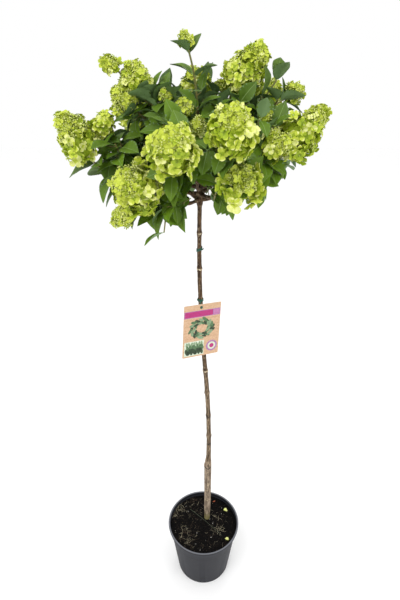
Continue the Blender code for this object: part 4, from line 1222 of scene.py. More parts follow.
def sepalTemplate(rows, columns):
    u = np.repeat(np.arange(rows + 1) / rows, columns + 1)
    v = np.tile(np.linspace(-1.0, 1.0, columns + 1), rows + 1)
    faces = []
    for i in range(rows):
        for k in range(columns):
            a = i * (columns + 1) + k
            faces.append((a, a + columns + 1, a + columns + 2, a + 1))
    narrow = 0.16 + 0.84 * np.sin(math.pi / 2 * np.clip(u / 0.56, 0, 1) ** 0.85)
    roundEnd = np.sqrt(np.clip(1.0 - (np.clip(u - 0.56, 0, 1) / 0.455) ** 2, 0.0, 1.0))
    return u, v, np.where(u < 0.56, narrow, roundEnd), faces


sepalTemplates = {size: sepalTemplate(*grid) for size, grid in florets["grids"].items()}


def addFloret(heap, centre, normal, scale, which, chance, parts=4):
    across, aside = (np.array(way) for way in crosswise(normal))
    centre, normal = np.array(centre), np.array(normal)
    start = anyTurn(chance)
    size = "large" if scale > florets["small"] else "small"
    u, v, width, faces = sepalTemplates[size]
    rows, columns = florets["grids"][size]
    tones = [which] * rows
    if size == "large":  # from a deep heart to a pale rim
        tones[0], tones[-1] = min(3, which + 1), max(0, which - 1)
    finishes = [tones[i // columns] for i in range(len(faces))]
    for k in range(parts):
        turn = start + 2 * math.pi * k / parts + (chance.random() - 0.5) * 0.3
        ahead = across * math.cos(turn) + aside * math.sin(turn)
        side = aside * math.cos(turn) - across * math.sin(turn)
        reach = florets["reach"] * scale * vary(chance, 0.12)
        half = florets["halfWidth"] * scale * vary(chance, 0.1)
        lift = (0.0005 if k % 2 else -0.0003) * scale
        x = u * reach + 0.0006
        y = v * width * half
        cup, curl = florets["cup"] * vary(chance, 0.5), florets["curl"] * vary(chance, 0.6)
        rise = lift + cup * half * (v * width) ** 2
        rise = rise + curl * reach * (u**2 - 0.9 * u**4)
        rise = rise + 0.05 * reach * np.sin(v * 4.0 + start) * u
        points = centre + np.outer(x, ahead) + np.outer(y, side) + np.outer(rise, normal)
        heap.add(points, faces, finishes)


def ball():  # a small twenty-sided ball
    golden = (1 + 5**0.5) / 2
    points = [(-1, golden, 0), (1, golden, 0), (-1, -golden, 0), (1, -golden, 0)]
    points += [(0, -1, golden), (0, 1, golden), (0, -1, -golden), (0, 1, -golden)]
    points += [(golden, 0, -1), (golden, 0, 1), (-golden, 0, -1), (-golden, 0, 1)]
    faces = [(0, 11, 5), (0, 5, 1), (0, 1, 7), (0, 7, 10), (0, 10, 11)]
    faces += [(1, 5, 9), (5, 11, 4), (11, 10, 2), (10, 7, 6), (7, 1, 8)]
    faces += [(3, 9, 4), (3, 4, 2), (3, 2, 6), (3, 6, 8), (3, 8, 9)]
    faces += [(4, 9, 5), (2, 4, 11), (6, 2, 10), (8, 6, 7), (9, 8, 1)]
    return np.array(points, dtype=float) / math.sqrt(1 + golden**2), faces


ballPoints, ballFaces = ball()


def addStalk(heap, start, end, radius, which):
    heap.add(*tube([start, end], [radius, radius * 0.8], 3), which)


def addBuds(heap, centre, normal, scale, chance):
    base = centre - normal * (budForm["cluster"] * scale * 0.9)
    count = budForm["count"]
    for i in range(count):
        tilt = math.acos(1.0 - 1.15 * (i + 0.5) / count)
        turn = i * goldenTurn + chance.random() * 0.4
        way = normal * math.cos(tilt) + spoke(normal, turn) * math.sin(tilt)
        place = base + way * (budForm["cluster"] * scale * vary(chance, 0.16) * 1.5)
        radius = budForm["radius"] * scale**0.5 * vary(chance, 0.25)
        heap.add(ballPoints * radius + np.array(place), ballFaces, 0 if chance.random() < 0.7 else 1)
        addStalk(heap, base, place, budForm["stalk"], 2)


def shareByArea(count):
    steps = np.linspace(0.0, 1.0, 81)
    area = np.cumsum([headRadius(step) for step in steps])
    return np.interp((np.arange(count) + 0.5) / count * area[-1], area, steps)


def headNormal(out, axis, share):
    tilt = -0.55 + 1.5 * share + 0.9 * share**4
    return (out + axis * tilt + up * 0.22).normalized()


def headLike(young, buds, scale, **others):
    # young: from where all is small florets and buds; buds: their share; scale: of the florets
    return {"young": young, "buds": buds, "scale": scale} | others


headManners = {
    ("lower_right", 1): headLike(0.5, 0.75, 1.26, reach=1.1, gaps=0.3, ends=(0.2, 0.5), dome=0.72, open=True),
    ("left", 0): headLike(0.56, 0.68, 0.98, reach=1.06, gaps=0.26),
    ("left", 1): headLike(0.9, 0.3, 0.84),
    ("right", 0): headLike(0.72, 0.6, 1.04, reach=1.06, gaps=0.26),
    ("right", 1): headLike(0.45, 0.7, 0.96, gaps=0.2),
    ("lower_left", 1): headLike(0.7, 0.62, 1.2, reach=0.98, gaps=0.3, ends=(0.12, 0.8), core=0.62),
    ("upper_left", 0): headLike(0.42, 0.5, 0.8),
    ("upper_left", 1): headLike(0.0, 0.35, 0.8),
    ("upper_right", 0): headLike(0.66, 0.45, 0.86),
    ("top", 0): headLike(0.6, 0.4, 0.84),
    ("front", 0): headLike(0.74, 0.6, 1.03, reach=0.87, ends=(0.1, 0.84)),
    ("front", 1): headLike(0.72, 0.45, 1.03, reach=0.84, ends=(0.14, 0.72)),
    ("front", 2): headLike(0.0, 0.9, 0.62, dome=0.72, core=0.54, apart=1.2),
}
bigHeadManner = headLike(0.72, 0.5, 0.96)
smallHeadManner = headLike(0.0, 0.82, 0.66, core=0.54, apart=1.2)
youngSide = Vector((-0.5, 0.4, 0.75))  # the young part lies towards the upper left
budTips = {
    "shoots": (("upper_left", 3), ("left", 3), ("right", 3), ("top", 3)),
    "length": 0.02,
    "radius": 0.009,
}


def headSpot(shoot, share, turn, depth, ends=florets["ends"]):
    foot, axis = headFoot(shoot)
    out = spoke(axis, turn)
    low, reach = ends
    place = foot + axis * ((low + reach * share) * shoot["length"])
    place += out * (headRadius(share) * shoot["radius"] * depth)
    return place, headNormal(out, axis, share)


def headLobes(shoot, chance):
    # the rounded lobes that the head's outline is made of: their middles and their size
    size = shoot["radius"] * florets["lobe"] * (1.0 if shoot["radius"] > 0.03 else 1.6)
    count = max(4, int(headArea(shoot) / (size * florets["lobeSpacing"]) ** 2))
    turn = anyTurn(chance)
    shares = enumerate(shareByArea(count))
    return [headSpot(shoot, share, turn + k * goldenTurn, 0.9)[0] for k, share in shares], size


def onLobe(place, normal, lobes):
    middles, size = lobes
    nearest = min(middles, key=lambda middle: (middle - place).length_squared)
    aside = (place - nearest) / size
    dome = 1.0 - min(1.0, aside.length_squared)
    lift = size * florets["lobeHeight"] * (dome - 0.55)
    lift += size * florets["lump"] * noise.noise(place * florets["lumpRate"])
    return place + normal * lift, (normal + aside * florets["lobeTilt"]).normalized()


def headArea(shoot):
    return 2 * math.pi * shoot["radius"] * shoot["length"] * 0.72


def addCore(heap, shoot, start, young, depth, ends, lobes):
    # the body of short stalks and buds that shows between the florets
    rings, sides = florets["coreGrid"]
    points, last, which = [], rings * sides, []
    for i in range(rings + 1):
        share = start + (1.0 - start) * i / rings
        tip = clamped((share - young) / 0.12)
        # painted light: under the young part the core takes the paler lime, which lifts the shade in the gaps
        # between the buds
        which += [1 if tip > 0.0 else 2] * (sides if i < rings else 2)
        for k in range(sides):
            turn = 2 * math.pi * (k + 0.5 * (i % 2)) / sides
            near = depth * (1.0 + florets["coreTip"] * tip)
            points.append(onLobe(*headSpot(shoot, share, turn, near, ends), lobes)[0])
    faces = []
    for i in range(rings):
        faces += band(i * sides, (i + 1) * sides, sides)
    heap.add(points, faces + lids(sides, last), which)


def headPlaces(shoot, spacing, depth, ends, lobes, chance):
    # places spread evenly over the head at one depth, each with the way that it faces
    count = max(5, int(headArea(shoot) * depth / spacing**2))
    turn = anyTurn(chance)
    for k, share in enumerate(shareByArea(count)):
        spread = depth * vary(chance, 0.05)
        if chance.random() < florets["standOut"][0]:
            spread += florets["standOut"][1]
        place, normal = onLobe(*headSpot(shoot, share, turn + k * goldenTurn, spread, ends), lobes)
        wobble = Vector([chance.random() - 0.5 for _ in range(3)])
        young = share + 0.16 * (place - shoot["middle"]).dot(youngSide) / shoot["radius"]
        young += 0.06 * (chance.random() - 0.5)
        yield share, young, place, (normal + wobble * florets["wobble"]).normalized()


def addHead(name, i, shoot, flowers, buds):
    chance = random.Random(f"{name} {i} florets")
    foot, axis = headFoot(shoot)
    length, radius = shoot["length"], shoot["radius"]
    manner = headManners.get((name, i), bigHeadManner if radius > 0.03 else smallHeadManner)
    reach, gaps = manner.get("reach", 1.0), manner.get("gaps", florets["gaps"])
    ends, dome = manner.get("ends", florets["ends"]), manner.get("dome", 1.0)
    isOpen, core = manner.get("open", False), manner.get("core", florets["core"]) * dome
    lobes = headLobes(shoot, chance)
    shift = Vector((chance.random() * 50, 0, 0))
    addCore(flowers, shoot, manner["young"] if isOpen else 0.0, manner["young"], core, ends, lobes)
    flowers.add(*tube([foot - axis * 0.002, foot + axis * (length * 0.5)], [0.0017, 0.0012], 5), 4)
    for depth, density in florets["layers"][:1 if isOpen else 2]:
        outer = depth == florets["layers"][0][0]
        spacing = florets["spacing"] * manner["scale"] / density**0.5
        for share, young, place, normal in headPlaces(shoot, spacing, depth * reach, ends, lobes, chance):
            thick = florets["filled"] - gaps * florets["lowGaps"] * (1.0 - share)
            empty = noise.noise(place * florets["gapRate"] + shift) > thick
            if young > manner["young"] or empty and (outer or gaps > florets["gaps"]):
                continue
            root = foot + axis * (max(0.02, share - florets["stalkFoot"]) * length)
            addStalk(flowers, root, place, florets["stalk"], 4)
            low, less, by = florets["scales"]
            scale = manner["scale"] * (low - less * share) * vary(chance, by)
            # painted light: a floret that faces up is more often dealt a paler colour
            luck = chance.random() + florets["lit"] * normal.z
            which = 0 if luck > florets["lemon"] else 1 if luck > florets["lime"] else 2
            addFloret(flowers, place, normal, scale, which if outer else 2, chance)
    # the youngest part: small florets and buds, with more small florets under them
    depth = florets["tipDepth"] * dome * min(1.0, reach)
    spacing = florets["tipSpacing"] * manner.get("apart", 1.0)
    under = florets["underYoung"]
    wide, deep = spacing * under["spacing"], depth * under["depth"]
    for share, young, place, normal in headPlaces(shoot, wide, deep, ends, lobes, chance):
        if young > manner["young"]:
            addFloret(flowers, place, normal, florets["tipScale"] * under["scale"], 1, chance)
    for share, young, place, normal in headPlaces(shoot, spacing, depth, ends, lobes, chance):
        if young < manner["young"]:
            continue
        if chance.random() < manner["buds"]:
            addBuds(buds, place, normal, 0.9, chance)
            root = foot + axis * (max(0.02, share - 0.1) * length)
            addStalk(buds, root, place - normal * 0.004, florets["stalk"], 2)
        else:
            luck = chance.random()
            which = 2 if luck < 0.4 else 1 if luck < 0.8 else 0
            addFloret(flowers, place, normal, florets["tipScale"] * vary(chance, 0.3), which, chance)


def sepalSurface(colours):
    more = {
        "Specular IOR Level": 0.3,
        "Subsurface Weight": 0.12,
        "Subsurface Radius": (0.004, 0.004, 0.001),
        "Subsurface Scale": 0.6,
    }
    relief, fine = (0.1, 0.0003), (1200.0, 1.0)
    return grained(colours, (220.0, 2.0), (0.52, 0.1), (0.3, 0.7), relief, fine, more)


sepalMaterials = [finish("sepal-" + name, sepalSurface(sepalColours[name])) for name in sepalSurfaces]
budColours = (((210, 215, 138), (190, 200, 106)), ((180, 193, 94), (160, 177, 74)))
budMaterials = [finish(f"bud-{i}", sepalSurface(colours)) for i, colours in enumerate(budColours)]
budMaterials.append(sepalMaterials[4])
for side, names in sides.items():
    flowers, buds = Heap(), Heap()
    for name in names:
        for i, shoot in enumerate(masses[name]["shoots"]):
            if shoot["length"]:
                addHead(name, i, shoot, flowers, buds)
            elif (name, i) in budTips["shoots"]:  # a small cluster of buds at a leafy shoot's end
                tip = shoot | {"length": budTips["length"], "radius": budTips["radius"]}
                tip["middle"] = tip["middle"] + headFoot(shoot)[1] * (tip["length"] / 2)
                addHead(name, i, tip, flowers, buds)
    settle(flowers.piece("florets_" + side, sepalMaterials), "foliage")
    settle(buds.piece("buds_" + side, budMaterials), "foliage")
print("flower heads made")


# Bark: trunk and boughs with knots, furrows and pale leaf scars

bark = {
    "step": 0.0022,
    "sides": 26,
    "furrow": 0.00045,
    "knot": 0.00075,
    "knotHalf": 0.0035,
    "scarHeights": (0.816, 1.113, 1.2),
    "scarHalf": 0.0016,
    "knee": 0.452,
    "kneeHalf": 0.007,
    "kneeBulge": 0.0014,  # on the left
    "foldHalf": 0.0021,
    "knuckles": (0.548, 0.657),
    "knuckleHalf": 0.005,
    "boughSides": 14,
    "boughStations": 34,
    "boughJoints": (0.52, 0.98),
}


def barkRelief(turn, distance, seed):
    # long furrows up the limb, with small lumps over them
    lengthwise = noise.noise(Vector((math.cos(turn) * 2.6, math.sin(turn) * 2.6, distance * 26.0 + seed)))
    lumps = noise.noise(Vector((math.cos(turn) * 1.1, math.sin(turn) * 1.1, distance * 95.0 + seed)))
    return bark["furrow"] * (0.9 * lengthwise + 0.7 * lumps)


def knotRelief(turn, height):
    # a raised ring at each joint, higher on the side where a shoot was cut
    rise = 0.0
    for i, joint in enumerate(trunkShape["joints"]):
        gap = (height - joint) / bark["knotHalf"]
        if abs(gap) < 3:
            side = 0.45 + 0.55 * max(0.0, math.cos(turn - i * 1.9))
            rise += bark["knot"] * math.exp(-gap * gap) * side
    return rise


def buildTrunk():
    low, high = trunkFoot.z - 0.003, trunkTop.z + 0.004
    heap, points, sides, bend = Heap(), [], bark["sides"], bark["kneeHalf"]
    count = int((high - low) / bark["step"]) + 1
    for i in range(count + 1):
        height = low + (high - low) * i / count
        axis = trunkAxis(height)
        close = min(1.0, (high - height) / 0.004)
        radius = trunkRadius(max(height, trunkFoot.z)) * (0.55 + 0.45 * close)
        knee = math.exp(-(((height - bark["knee"]) / bend) ** 2))
        for k in range(sides):
            turn = 2 * math.pi * k / sides
            reach = radius + barkRelief(turn, height, 3.0) + knotRelief(turn, height)
            reach += bark["kneeBulge"] * knee * max(0.0, -math.cos(turn))
            points.append(axis + Vector((math.cos(turn) * reach, math.sin(turn) * reach, 0.0)))
    faces, which = [], []
    for i in range(count):
        height = low + (high - low) * (i + 0.5) / count
        faces += band(i * sides, (i + 1) * sides, sides)
        for k in range(sides):
            turn = 2 * math.pi * (k + 0.5) / sides
            scar = any(abs(height - mark) < bark["scarHalf"] for mark in bark["scarHeights"])
            ragged = noise.noise(Vector((k * 0.5, height * 300, 1.0)))
            # painted shade: a near-black band in the fold under the knee; the spots at the knuckles are dark
            # bark
            fold = abs(height - bark["knee"] + bend - bend * abs(math.cos(turn))) < bark["foldHalf"]
            spots = any(abs(height - mark) < bark["knuckleHalf"] for mark in bark["knuckles"])
            dark = fold or spots and ragged > -0.05
            which.append(2 if dark else 1 if scar and ragged > -0.12 else 0)
    heap.add(points, faces + lids(sides, count * sides), which + [0, 0])
    return heap


def buildBoughs():
    heap = Heap()
    for number, mass in enumerate(masses.values()):
        foot, guides = boughGuides(mass)
        outwards = boughFoot(mass)[1]
        path = [foot - outwards * trunkShape["headRadius"] * 0.8, foot - outwards * 0.002]
        path += curvePoints(guides, bark["boughStations"])
        last = len(path) - 1
        points, across = [], None
        for i, place in enumerate(path):
            ahead = (path[min(i + 1, last)] - path[max(i - 1, 0)]).normalized()
            across = crosswise(ahead)[0] if across is None else across
            across = (across - ahead * across.dot(ahead)).normalized()
            aside = ahead.cross(across)
            share = i / last
            radius = boughRadius(share) + 0.0011 * math.exp(-share * 9.0)  # swollen at its foot and joints
            low, high = (math.exp(-(((share - joint) / 0.05) ** 2)) for joint in bark["boughJoints"])
            radius += 0.0007 * low + 0.0005 * high
            sides = bark["boughSides"]
            reliefs = [barkRelief(2 * math.pi * k / sides, share * 0.12, number * 5.0) for k in range(sides)]
            points += ringPoints(place, across, aside, [radius + relief for relief in reliefs])
        heap.add(points, tube(path, [1.0] * len(path), sides)[1], 0)
    return heap


def barkSurface(wires):
    place = wires.place()
    height = place.height()
    streaks = place.stretched((1.0, 1.0, 0.1)).cloud(420.0, 4.0, 0.6)
    flakes = place.cloud(130.0, 4.0)
    upper = height.step(0.72, 0.9)
    middle = height.step(0.44, 0.49)
    footBark = streaks.step(0.38, 0.62).pick((94, 80, 66), (166, 148, 128))
    middleBark = streaks.step(0.38, 0.62).pick((58, 46, 34), (138, 118, 95))
    lowBark = middle.pick(footBark, middleBark)
    highBark = streaks.step(0.38, 0.66).pick((52, 38, 27), (112, 88, 64))
    whole = upper.pick(lowBark, highBark)
    patches = flakes.step(0.56, 0.64) * (0.7 - middle * 0.35)
    whole = patches.pick(whole, (186, 168, 138))
    lines = place.stretched((1.0, 1.0, 0.05)).cloud(240.0, 2.0).step(0.57, 0.64) * 0.7
    whole = lines.pick(whole, (58, 44, 32))
    green = (1.0 - height.step(0.196, 0.235)) * 0.75
    whole = green.pick(whole, (132, 126, 72))
    return {
        "Base Color": whole,
        "Roughness": 0.72 + streaks * 0.2,
        "Specular IOR Level": 0.3,
        "Normal": (streaks * 0.7 + flakes * 0.3).relief(0.6, 0.001),
    }


scarColours = (186, 168, 138), (206, 190, 160)
# near-black: painted shade in the fold under the knee, and dark bark at the knuckles
foldColours = (18, 14, 11), (44, 34, 27)
barkMaterials = [
    finish("bark", barkSurface),
    finish("bark-scar", grained(scarColours, (400.0,), (0.8, 0.0), relief=(0.4, 0.0005))),
    finish("bark-fold", grained(foldColours, (300.0,), (0.85, 0.0), relief=(0.4, 0.0005))),
]
settle(buildTrunk().piece("trunkBark", barkMaterials), "bark", "trunk")
settle(buildBoughs().piece("boughBark", barkMaterials), "bark", *("bough_" + name for name in masses))
print("bark made")


# Shoots, twigs and spurs: woody at the fork, green towards their leaves

shootForm = {"sides": 7, "station": 0.004, "woody": 0.42, "jointSwell": 0.22}


def leafyPart(path, places):  # a path up to the last thing that grows on it, or nothing where it is bare
    near = [k for k, point in enumerate(path) if any((place - point).length < 0.003 for place in places)]
    return path[:max(near) + 1] if near else []


def addShoot(heap, path, radiusAt):
    total = pathLength(path)
    last = len(path) - 1
    radii = []
    for i in range(len(path)):
        share = i / last
        pulse = max(0.0, math.cos(share * total / growth["nodeSpacing"] * 2 * math.pi)) ** 8
        radii.append(radiusAt(share) * (1.0 + shootForm["jointSwell"] * pulse))
    sides = shootForm["sides"]
    which = [0 if i // sides < last * shootForm["woody"] else 1 for i in range(last * sides)]
    heap.add(*tube(path, radii, sides), which + [0, 1])


woody = (74, 54, 38), (128, 102, 74)
green = (104, 112, 56), (138, 122, 72)
shootMaterials = [
    finish("shoot-woody", grained(woody, (260.0, 4.0), (0.68, 0.0), (0.35, 0.65), (0.4, 0.0005))),
    finish("shoot-green", grained(green, (180.0, 3.0), (0.55, 0.0), (0.35, 0.68), (0.25, 0.0004))),
]
heap = Heap()
for name, mass in masses.items():
    start, end, onwards = massStem(mass)
    radii = [boughShape["tipRadius"] * share for share in (1.0, 0.98, 0.86)]
    heap.add(*tube([start - onwards * 0.004, start, end], radii, 9), 0)
    spurRoots = [twig[0] for twig in grown[name]["spurs"]]
    places = [leaf["place"] for leaf in grown[name]["leaves"]] + spurRoots
    twigs = []
    for twig in grown[name]["twigs"]:
        kept = leafyPart([along(twig, pathLength(twig) * i / 16)[0] for i in range(17)], places)
        if len(kept) > 2:
            twigs.append(kept)
    places += [twig[0] for twig in twigs]
    for shoot in mass["shoots"]:
        guides = shootGuides(mass, shoot)
        path = curvePoints(guides, max(5, int((guides[3] - guides[0]).length / shootForm["station"])))
        if not shoot["length"]:
            path = leafyPart(path, places)
        addShoot(heap, path, shootRadius)
    low, high = growth["twigRadii"][0], growth["twigRadii"][-1]
    for twig in twigs:
        heap.add(*tube(twig, [low + (high - low) * i / (len(twig) - 1) for i in range(len(twig))], 6), 1)
    for twig in grown[name]["spurs"]:
        heap.add(*tube(twig, spurs["radii"], 5), 1)
settle(heap.piece("shoots", shootMaterials, 60.0), "foliage")
print("shoots made")


# Pot: thin moulded plastic with a stepped collar, a lip and drain notches

pot = {
    "height": 0.207,
    "rimRadius": 0.1125,
    "footRadius": 0.0845,
    "wall": 0.0022,
    "floor": 0.003,
    "collarHeight": 0.021,
    "collarStep": 0.0028,
    "collarSlope": 0.002,
    "collarFlare": 0.0006,
    "lip": 0.0024,
    "lipDepth": 0.0052,
    "rounding": 0.001,
    "sides": 144,
    "notches": 8,
    "notchTurn": 42.0,
    "notchWidth": 0.017,
    "notchHeight": 0.0065,
    "notchDepth": 0.014,
    "bulge": 0.0004,
}


def potRadius(height):
    bodyTop = pot["rimRadius"] - pot["lip"] - pot["collarStep"]
    return pot["footRadius"] + (bodyTop - pot["footRadius"]) * height / pot["height"]


def rounded(profile, radius, steps=3):
    # each inner corner of the profile becomes a short arc
    smooth = [profile[0]]
    for before, corner, after in zip(profile, profile[1:], profile[2:]):
        a, b, c = Vector(before), Vector(corner), Vector(after)
        cut = min(radius, (a - b).length * 0.45, (c - b).length * 0.45)
        start, end = b + (a - b).normalized() * cut, b + (c - b).normalized() * cut
        for i in range(steps + 1):
            share = i / steps
            arc = start.lerp(b, share).lerp(b.lerp(end, share), share)
            smooth.append((arc.x, arc.y))
    return smooth + [profile[-1]]


def turnedShape(profile, sides, wobble):
    points, faces, rows = [], [], []
    for radius, height in profile:
        if radius == 0.0:
            rows.append([len(points)] * sides)
            points.append((0.0, 0.0, height))
            continue
        rows.append(list(range(len(points), len(points) + sides)))
        for k in range(sides):
            turn = 2 * math.pi * k / sides
            reach = radius + wobble(turn, height)
            points.append((reach * math.cos(turn), reach * math.sin(turn), height))
    for low, high in zip(rows, rows[1:]):
        for k in range(sides):
            after = (k + 1) % sides
            faces.append(tuple(dict.fromkeys((low[k], low[after], high[after], high[k]))))
    return points, faces


def potWobble(turn, height):  # thin plastic never stands quite round
    wave = math.cos(2 * turn + 0.6) + 0.5 * math.sin(3 * turn)
    return pot["bulge"] * wave * height / pot["height"] - pot["bulge"]


def buildPot():
    shoulder = pot["height"] - pot["collarHeight"]
    collar = pot["rimRadius"] - pot["lip"]
    inside = collar - pot["wall"]
    profile = [
        (0.0, 0.0),
        (pot["footRadius"], 0.0),
        (potRadius(shoulder), shoulder),
        (collar - pot["collarFlare"], shoulder + pot["collarSlope"]),
        (collar, pot["height"] - pot["lipDepth"] - 0.0008),
        (pot["rimRadius"], pot["height"] - pot["lipDepth"]),
        (pot["rimRadius"], pot["height"]),
        (inside, pot["height"]),
        (inside - pot["collarFlare"], shoulder + pot["collarSlope"]),
        (potRadius(shoulder) - pot["wall"], shoulder),
        (potRadius(pot["floor"]) - pot["wall"], pot["floor"]),
        (0.0, pot["floor"]),
    ]
    heap = Heap()
    heap.add(*turnedShape(rounded(profile, pot["rounding"]), pot["sides"], potWobble))
    shell = heap.piece("potShell", [potMaterial], 40.0)
    notches = Heap()
    for i in range(pot["notches"]):
        outwards = compassDirection(pot["notchTurn"] + 360.0 / pot["notches"] * i, 0.0)
        aside = Vector((-outwards.y, outwards.x, 0.0))
        section = [(-pot["notchWidth"] / 2, -0.002), (pot["notchWidth"] / 2, -0.002)]
        for k in range(13):
            turn = math.pi * k / 12
            section.append((pot["notchWidth"] / 2 * math.cos(turn), pot["notchHeight"] * math.sin(turn)))
        inner = outwards * (pot["footRadius"] - pot["notchDepth"])
        near = [inner + aside * u + up * v for u, v in section]
        far = [point + outwards * pot["notchDepth"] * 2 for point in near]
        notches.add(*plate(near, far))
    cutter = notches.piece("notchCutter", [potMaterial])
    cut = shell.modifiers.new("notches", "BOOLEAN")
    cut.operation = "DIFFERENCE"
    cut.object = cutter
    cut.solver = "EXACT"
    seen = shell.evaluated_get(bpy.context.evaluated_depsgraph_get())
    mesh = bpy.data.meshes.new_from_object(seen)
    shell.modifiers.clear()
    shell.data = mesh
    bpy.data.objects.remove(cutter)
    return shell


def potSurface(wires):
    place = wires.place()
    height = place.height()
    dust = place.cloud(22.0, 5.0, 0.6)
    fine = place.cloud(900.0, 2.0)
    scuffs = place.stretched((1.0, 1.0, 6.0)).cloud(60.0, 4.0)
    grey = dust.step(0.35, 0.75).pick((33, 34, 40), (45, 46, 52))
    wearAndPaintedLight = (scuffs.step(0.62, 0.72) * 0.3).pick(grey, (84, 86, 91))
    marks = (
        # painted light: the collar band is painted a little lighter than the body
        (height.step(0.185, 0.19) * 0.35, (62, 63, 69)),
        # painted shade as a faint line round the body where no step is moulded, painted shade under the lip,
        # and a painted highlight along the rim's top edge
        (height.step(0.15, 0.1545) * (1.0 - height.step(0.158, 0.1625)) * 0.26, (18, 18, 21)),
        (height.step(0.1945, 0.197) * (1.0 - height.step(0.2045, 0.206)) * 0.55, (18, 18, 21)),
        (height.step(0.206, 0.2069) * 0.8, (112, 114, 120)),
    )
    for mask, colour in marks:
        wearAndPaintedLight = mask.pick(wearAndPaintedLight, colour)
    return {
        "Base Color": wearAndPaintedLight,
        "Roughness": 0.52 + dust * 0.2,
        "Specular IOR Level": 0.26,
        "Normal": fine.relief(0.12, 0.0003),
    }


potMaterial = finish("pot-plastic", potSurface)
settle(buildPot(), "pot", "pot")
print("pot made")


# Compost: a lumpy surface with crumbs, chips, fibres, pale grains and fallen sepals

compost = {
    "level": 0.1905,
    "seat": 0.1922,
    "dip": 0.0035,
    "dipRadius": 0.060,
    "radius": 0.1066,
    "skirt": ((0.1008, 0.1852), (0.0985, 0.1605)),  # radius and height of its edge inside the pot
    "rings": 74,
    "spokes": 180,
    "lumps": 0.0030,
    "crumbs": (1700, 0.003, (0.0009, 0.0022)),  # count, clear edge, least size and what chance adds
    "chips": (60, 0.006, (0.0016, 0.0038)),
    "grains": (16, 0.005, (0.0005, 0.0007)),
    "fibres": (360, 0.010, (0.004, 0.011)),
    "fibreThickness": (0.00014, 0.00018),
    "clumps": (  # where fibres lie close: x, y, how many, how pale from 0 to 1
        (-0.075, 0.062, 34, 0.8),
        (-0.091, 0.033, 20, 0.7),
        (-0.056, -0.021, 18, 0.4),
        (-0.043, -0.055, 26, 0.6),
        (0.053, -0.017, 24, 0.9),
        (-0.025, 0.089, 14, 0.1),
        (-0.070, -0.040, 16, 0.5),
        (0.045, 0.020, 10, 0.7),
    ),
    "paleGrains": ((-0.021, -0.031), (0.024, -0.045), (-0.011, -0.087), (0.030, 0.002)),
}


def compostHeight(x, y):
    reach = math.hypot(x, y)
    middle = compost["seat"] - 0.0012
    low = compost["level"] - compost["dip"]
    if reach < compost["dipRadius"]:
        share = clamped((reach - 0.02) / (compost["dipRadius"] - 0.02))
        base = middle + (low - middle) * share * share * (3 - 2 * share)
    else:
        share = (reach - compost["dipRadius"]) / (compost["radius"] - compost["dipRadius"])
        base = low + (compost["level"] - low) * share
    spot = Vector((x, y, 0.0))
    rough = noise.fractal(spot * 55.0, 0.8, 2.2, 4) * 0.55 + abs(noise.noise(spot * 150.0)) * 0.45
    return base + compost["lumps"] * rough


def buildCompost():
    heap = Heap()
    rings, spokes = compost["rings"], compost["spokes"]
    points = [(0.0, 0.0, compostHeight(0.0, 0.0))]
    for i in range(1, rings + 1):
        for k in range(spokes):
            turn = 2 * math.pi * (k + 0.5 * (i % 2)) / spokes
            reach = compost["radius"] * i / rings
            x, y = reach * math.cos(turn), reach * math.sin(turn)
            points.append((x, y, compostHeight(x, y)))
    faces = [(0, 1 + k, 1 + (k + 1) % spokes) for k in range(spokes)]
    edge = points[-spokes:]
    for radius, height in compost["skirt"]:
        share = radius / compost["radius"]
        points += [(x * share, y * share, height) for x, y, _ in edge]
    for i in range(rings - 1 + len(compost["skirt"])):
        faces += band(1 + i * spokes, 1 + (i + 1) * spokes, spokes, True)
    faces.append(tuple(reversed(range(len(points) - spokes, len(points)))))
    heap.add(points, faces)
    return heap


def onCompost(x, y, above=0.0):
    return Vector((x, y, compostHeight(x, y) + above))


def scattered(chance, edge):  # a place on the compost, this far or further from its edge
    turn = chance.random() * 2 * math.pi
    reach = (compost["radius"] - edge) * math.sqrt(chance.random())
    return onCompost(reach * math.cos(turn), reach * math.sin(turn))


def sized(sizes, chance, power=1):  # few are large where the power is high
    least, more = sizes
    return least + more * chance.random() ** power


def addCrumb(heap, place, size, which, chance):
    shift = Vector([chance.random() * 50 for _ in range(3)])
    squash = np.array((vary(chance, 0.3), vary(chance, 0.3), 0.7 * vary(chance, 0.3)))
    points = []
    for point in ballPoints:
        bump = 1.0 + 0.35 * noise.noise(Vector(point) * 1.7 + shift)
        points.append(np.array(place) + point * bump * size * squash)
    heap.add(points, ballFaces, which)


def addFibre(heap, place, length, thickness, which, chance):
    turn = chance.random() * 2 * math.pi
    way = Vector((math.cos(turn), math.sin(turn), 0.25 * (chance.random() - 0.25)))
    side = Vector((-math.sin(turn), math.cos(turn), 0.0)) * (chance.random() - 0.5) * length
    start = place + up * 0.0004
    early, late = start + way * length * 0.3 + side, start + way * length * 0.7 - side * 0.6
    path = curvePoints((start, early, late, start + way * length), 6)
    for point in path:
        edge = math.hypot(point.x, point.y) / (compost["radius"] - 0.002)
        if edge > 1.0:
            point.x, point.y = point.x / edge, point.y / edge
        point.z = max(point.z, compostHeight(point.x, point.y) + thickness)
    heap.add(*tube(path, [thickness * s for s in (0.6, 1.0, 1.0, 0.9, 0.8, 0.4)], 4), which)


def addChip(heap, place, size, which, chance):
    turn = Matrix.Rotation(anyTurn(chance), 3, "Z")
    turn = turn @ Matrix.Rotation((chance.random() - 0.5) * 0.9, 3, "X")
    wide, thick = size * (0.25 + 0.3 * chance.random()), size * 0.14
    points, sides = [], 6
    for z in (-thick, thick):
        for k in range(sides):
            angle = 2 * math.pi * k / sides + 0.3
            x = math.cos(angle) * size * vary(chance, 0.2)
            y = math.sin(angle) * wide * vary(chance, 0.2)
            points.append(place + turn @ Vector((x, y, z)) + up * 0.0007)
    heap.add(points, lids(sides, sides) + band(0, sides, sides), which)


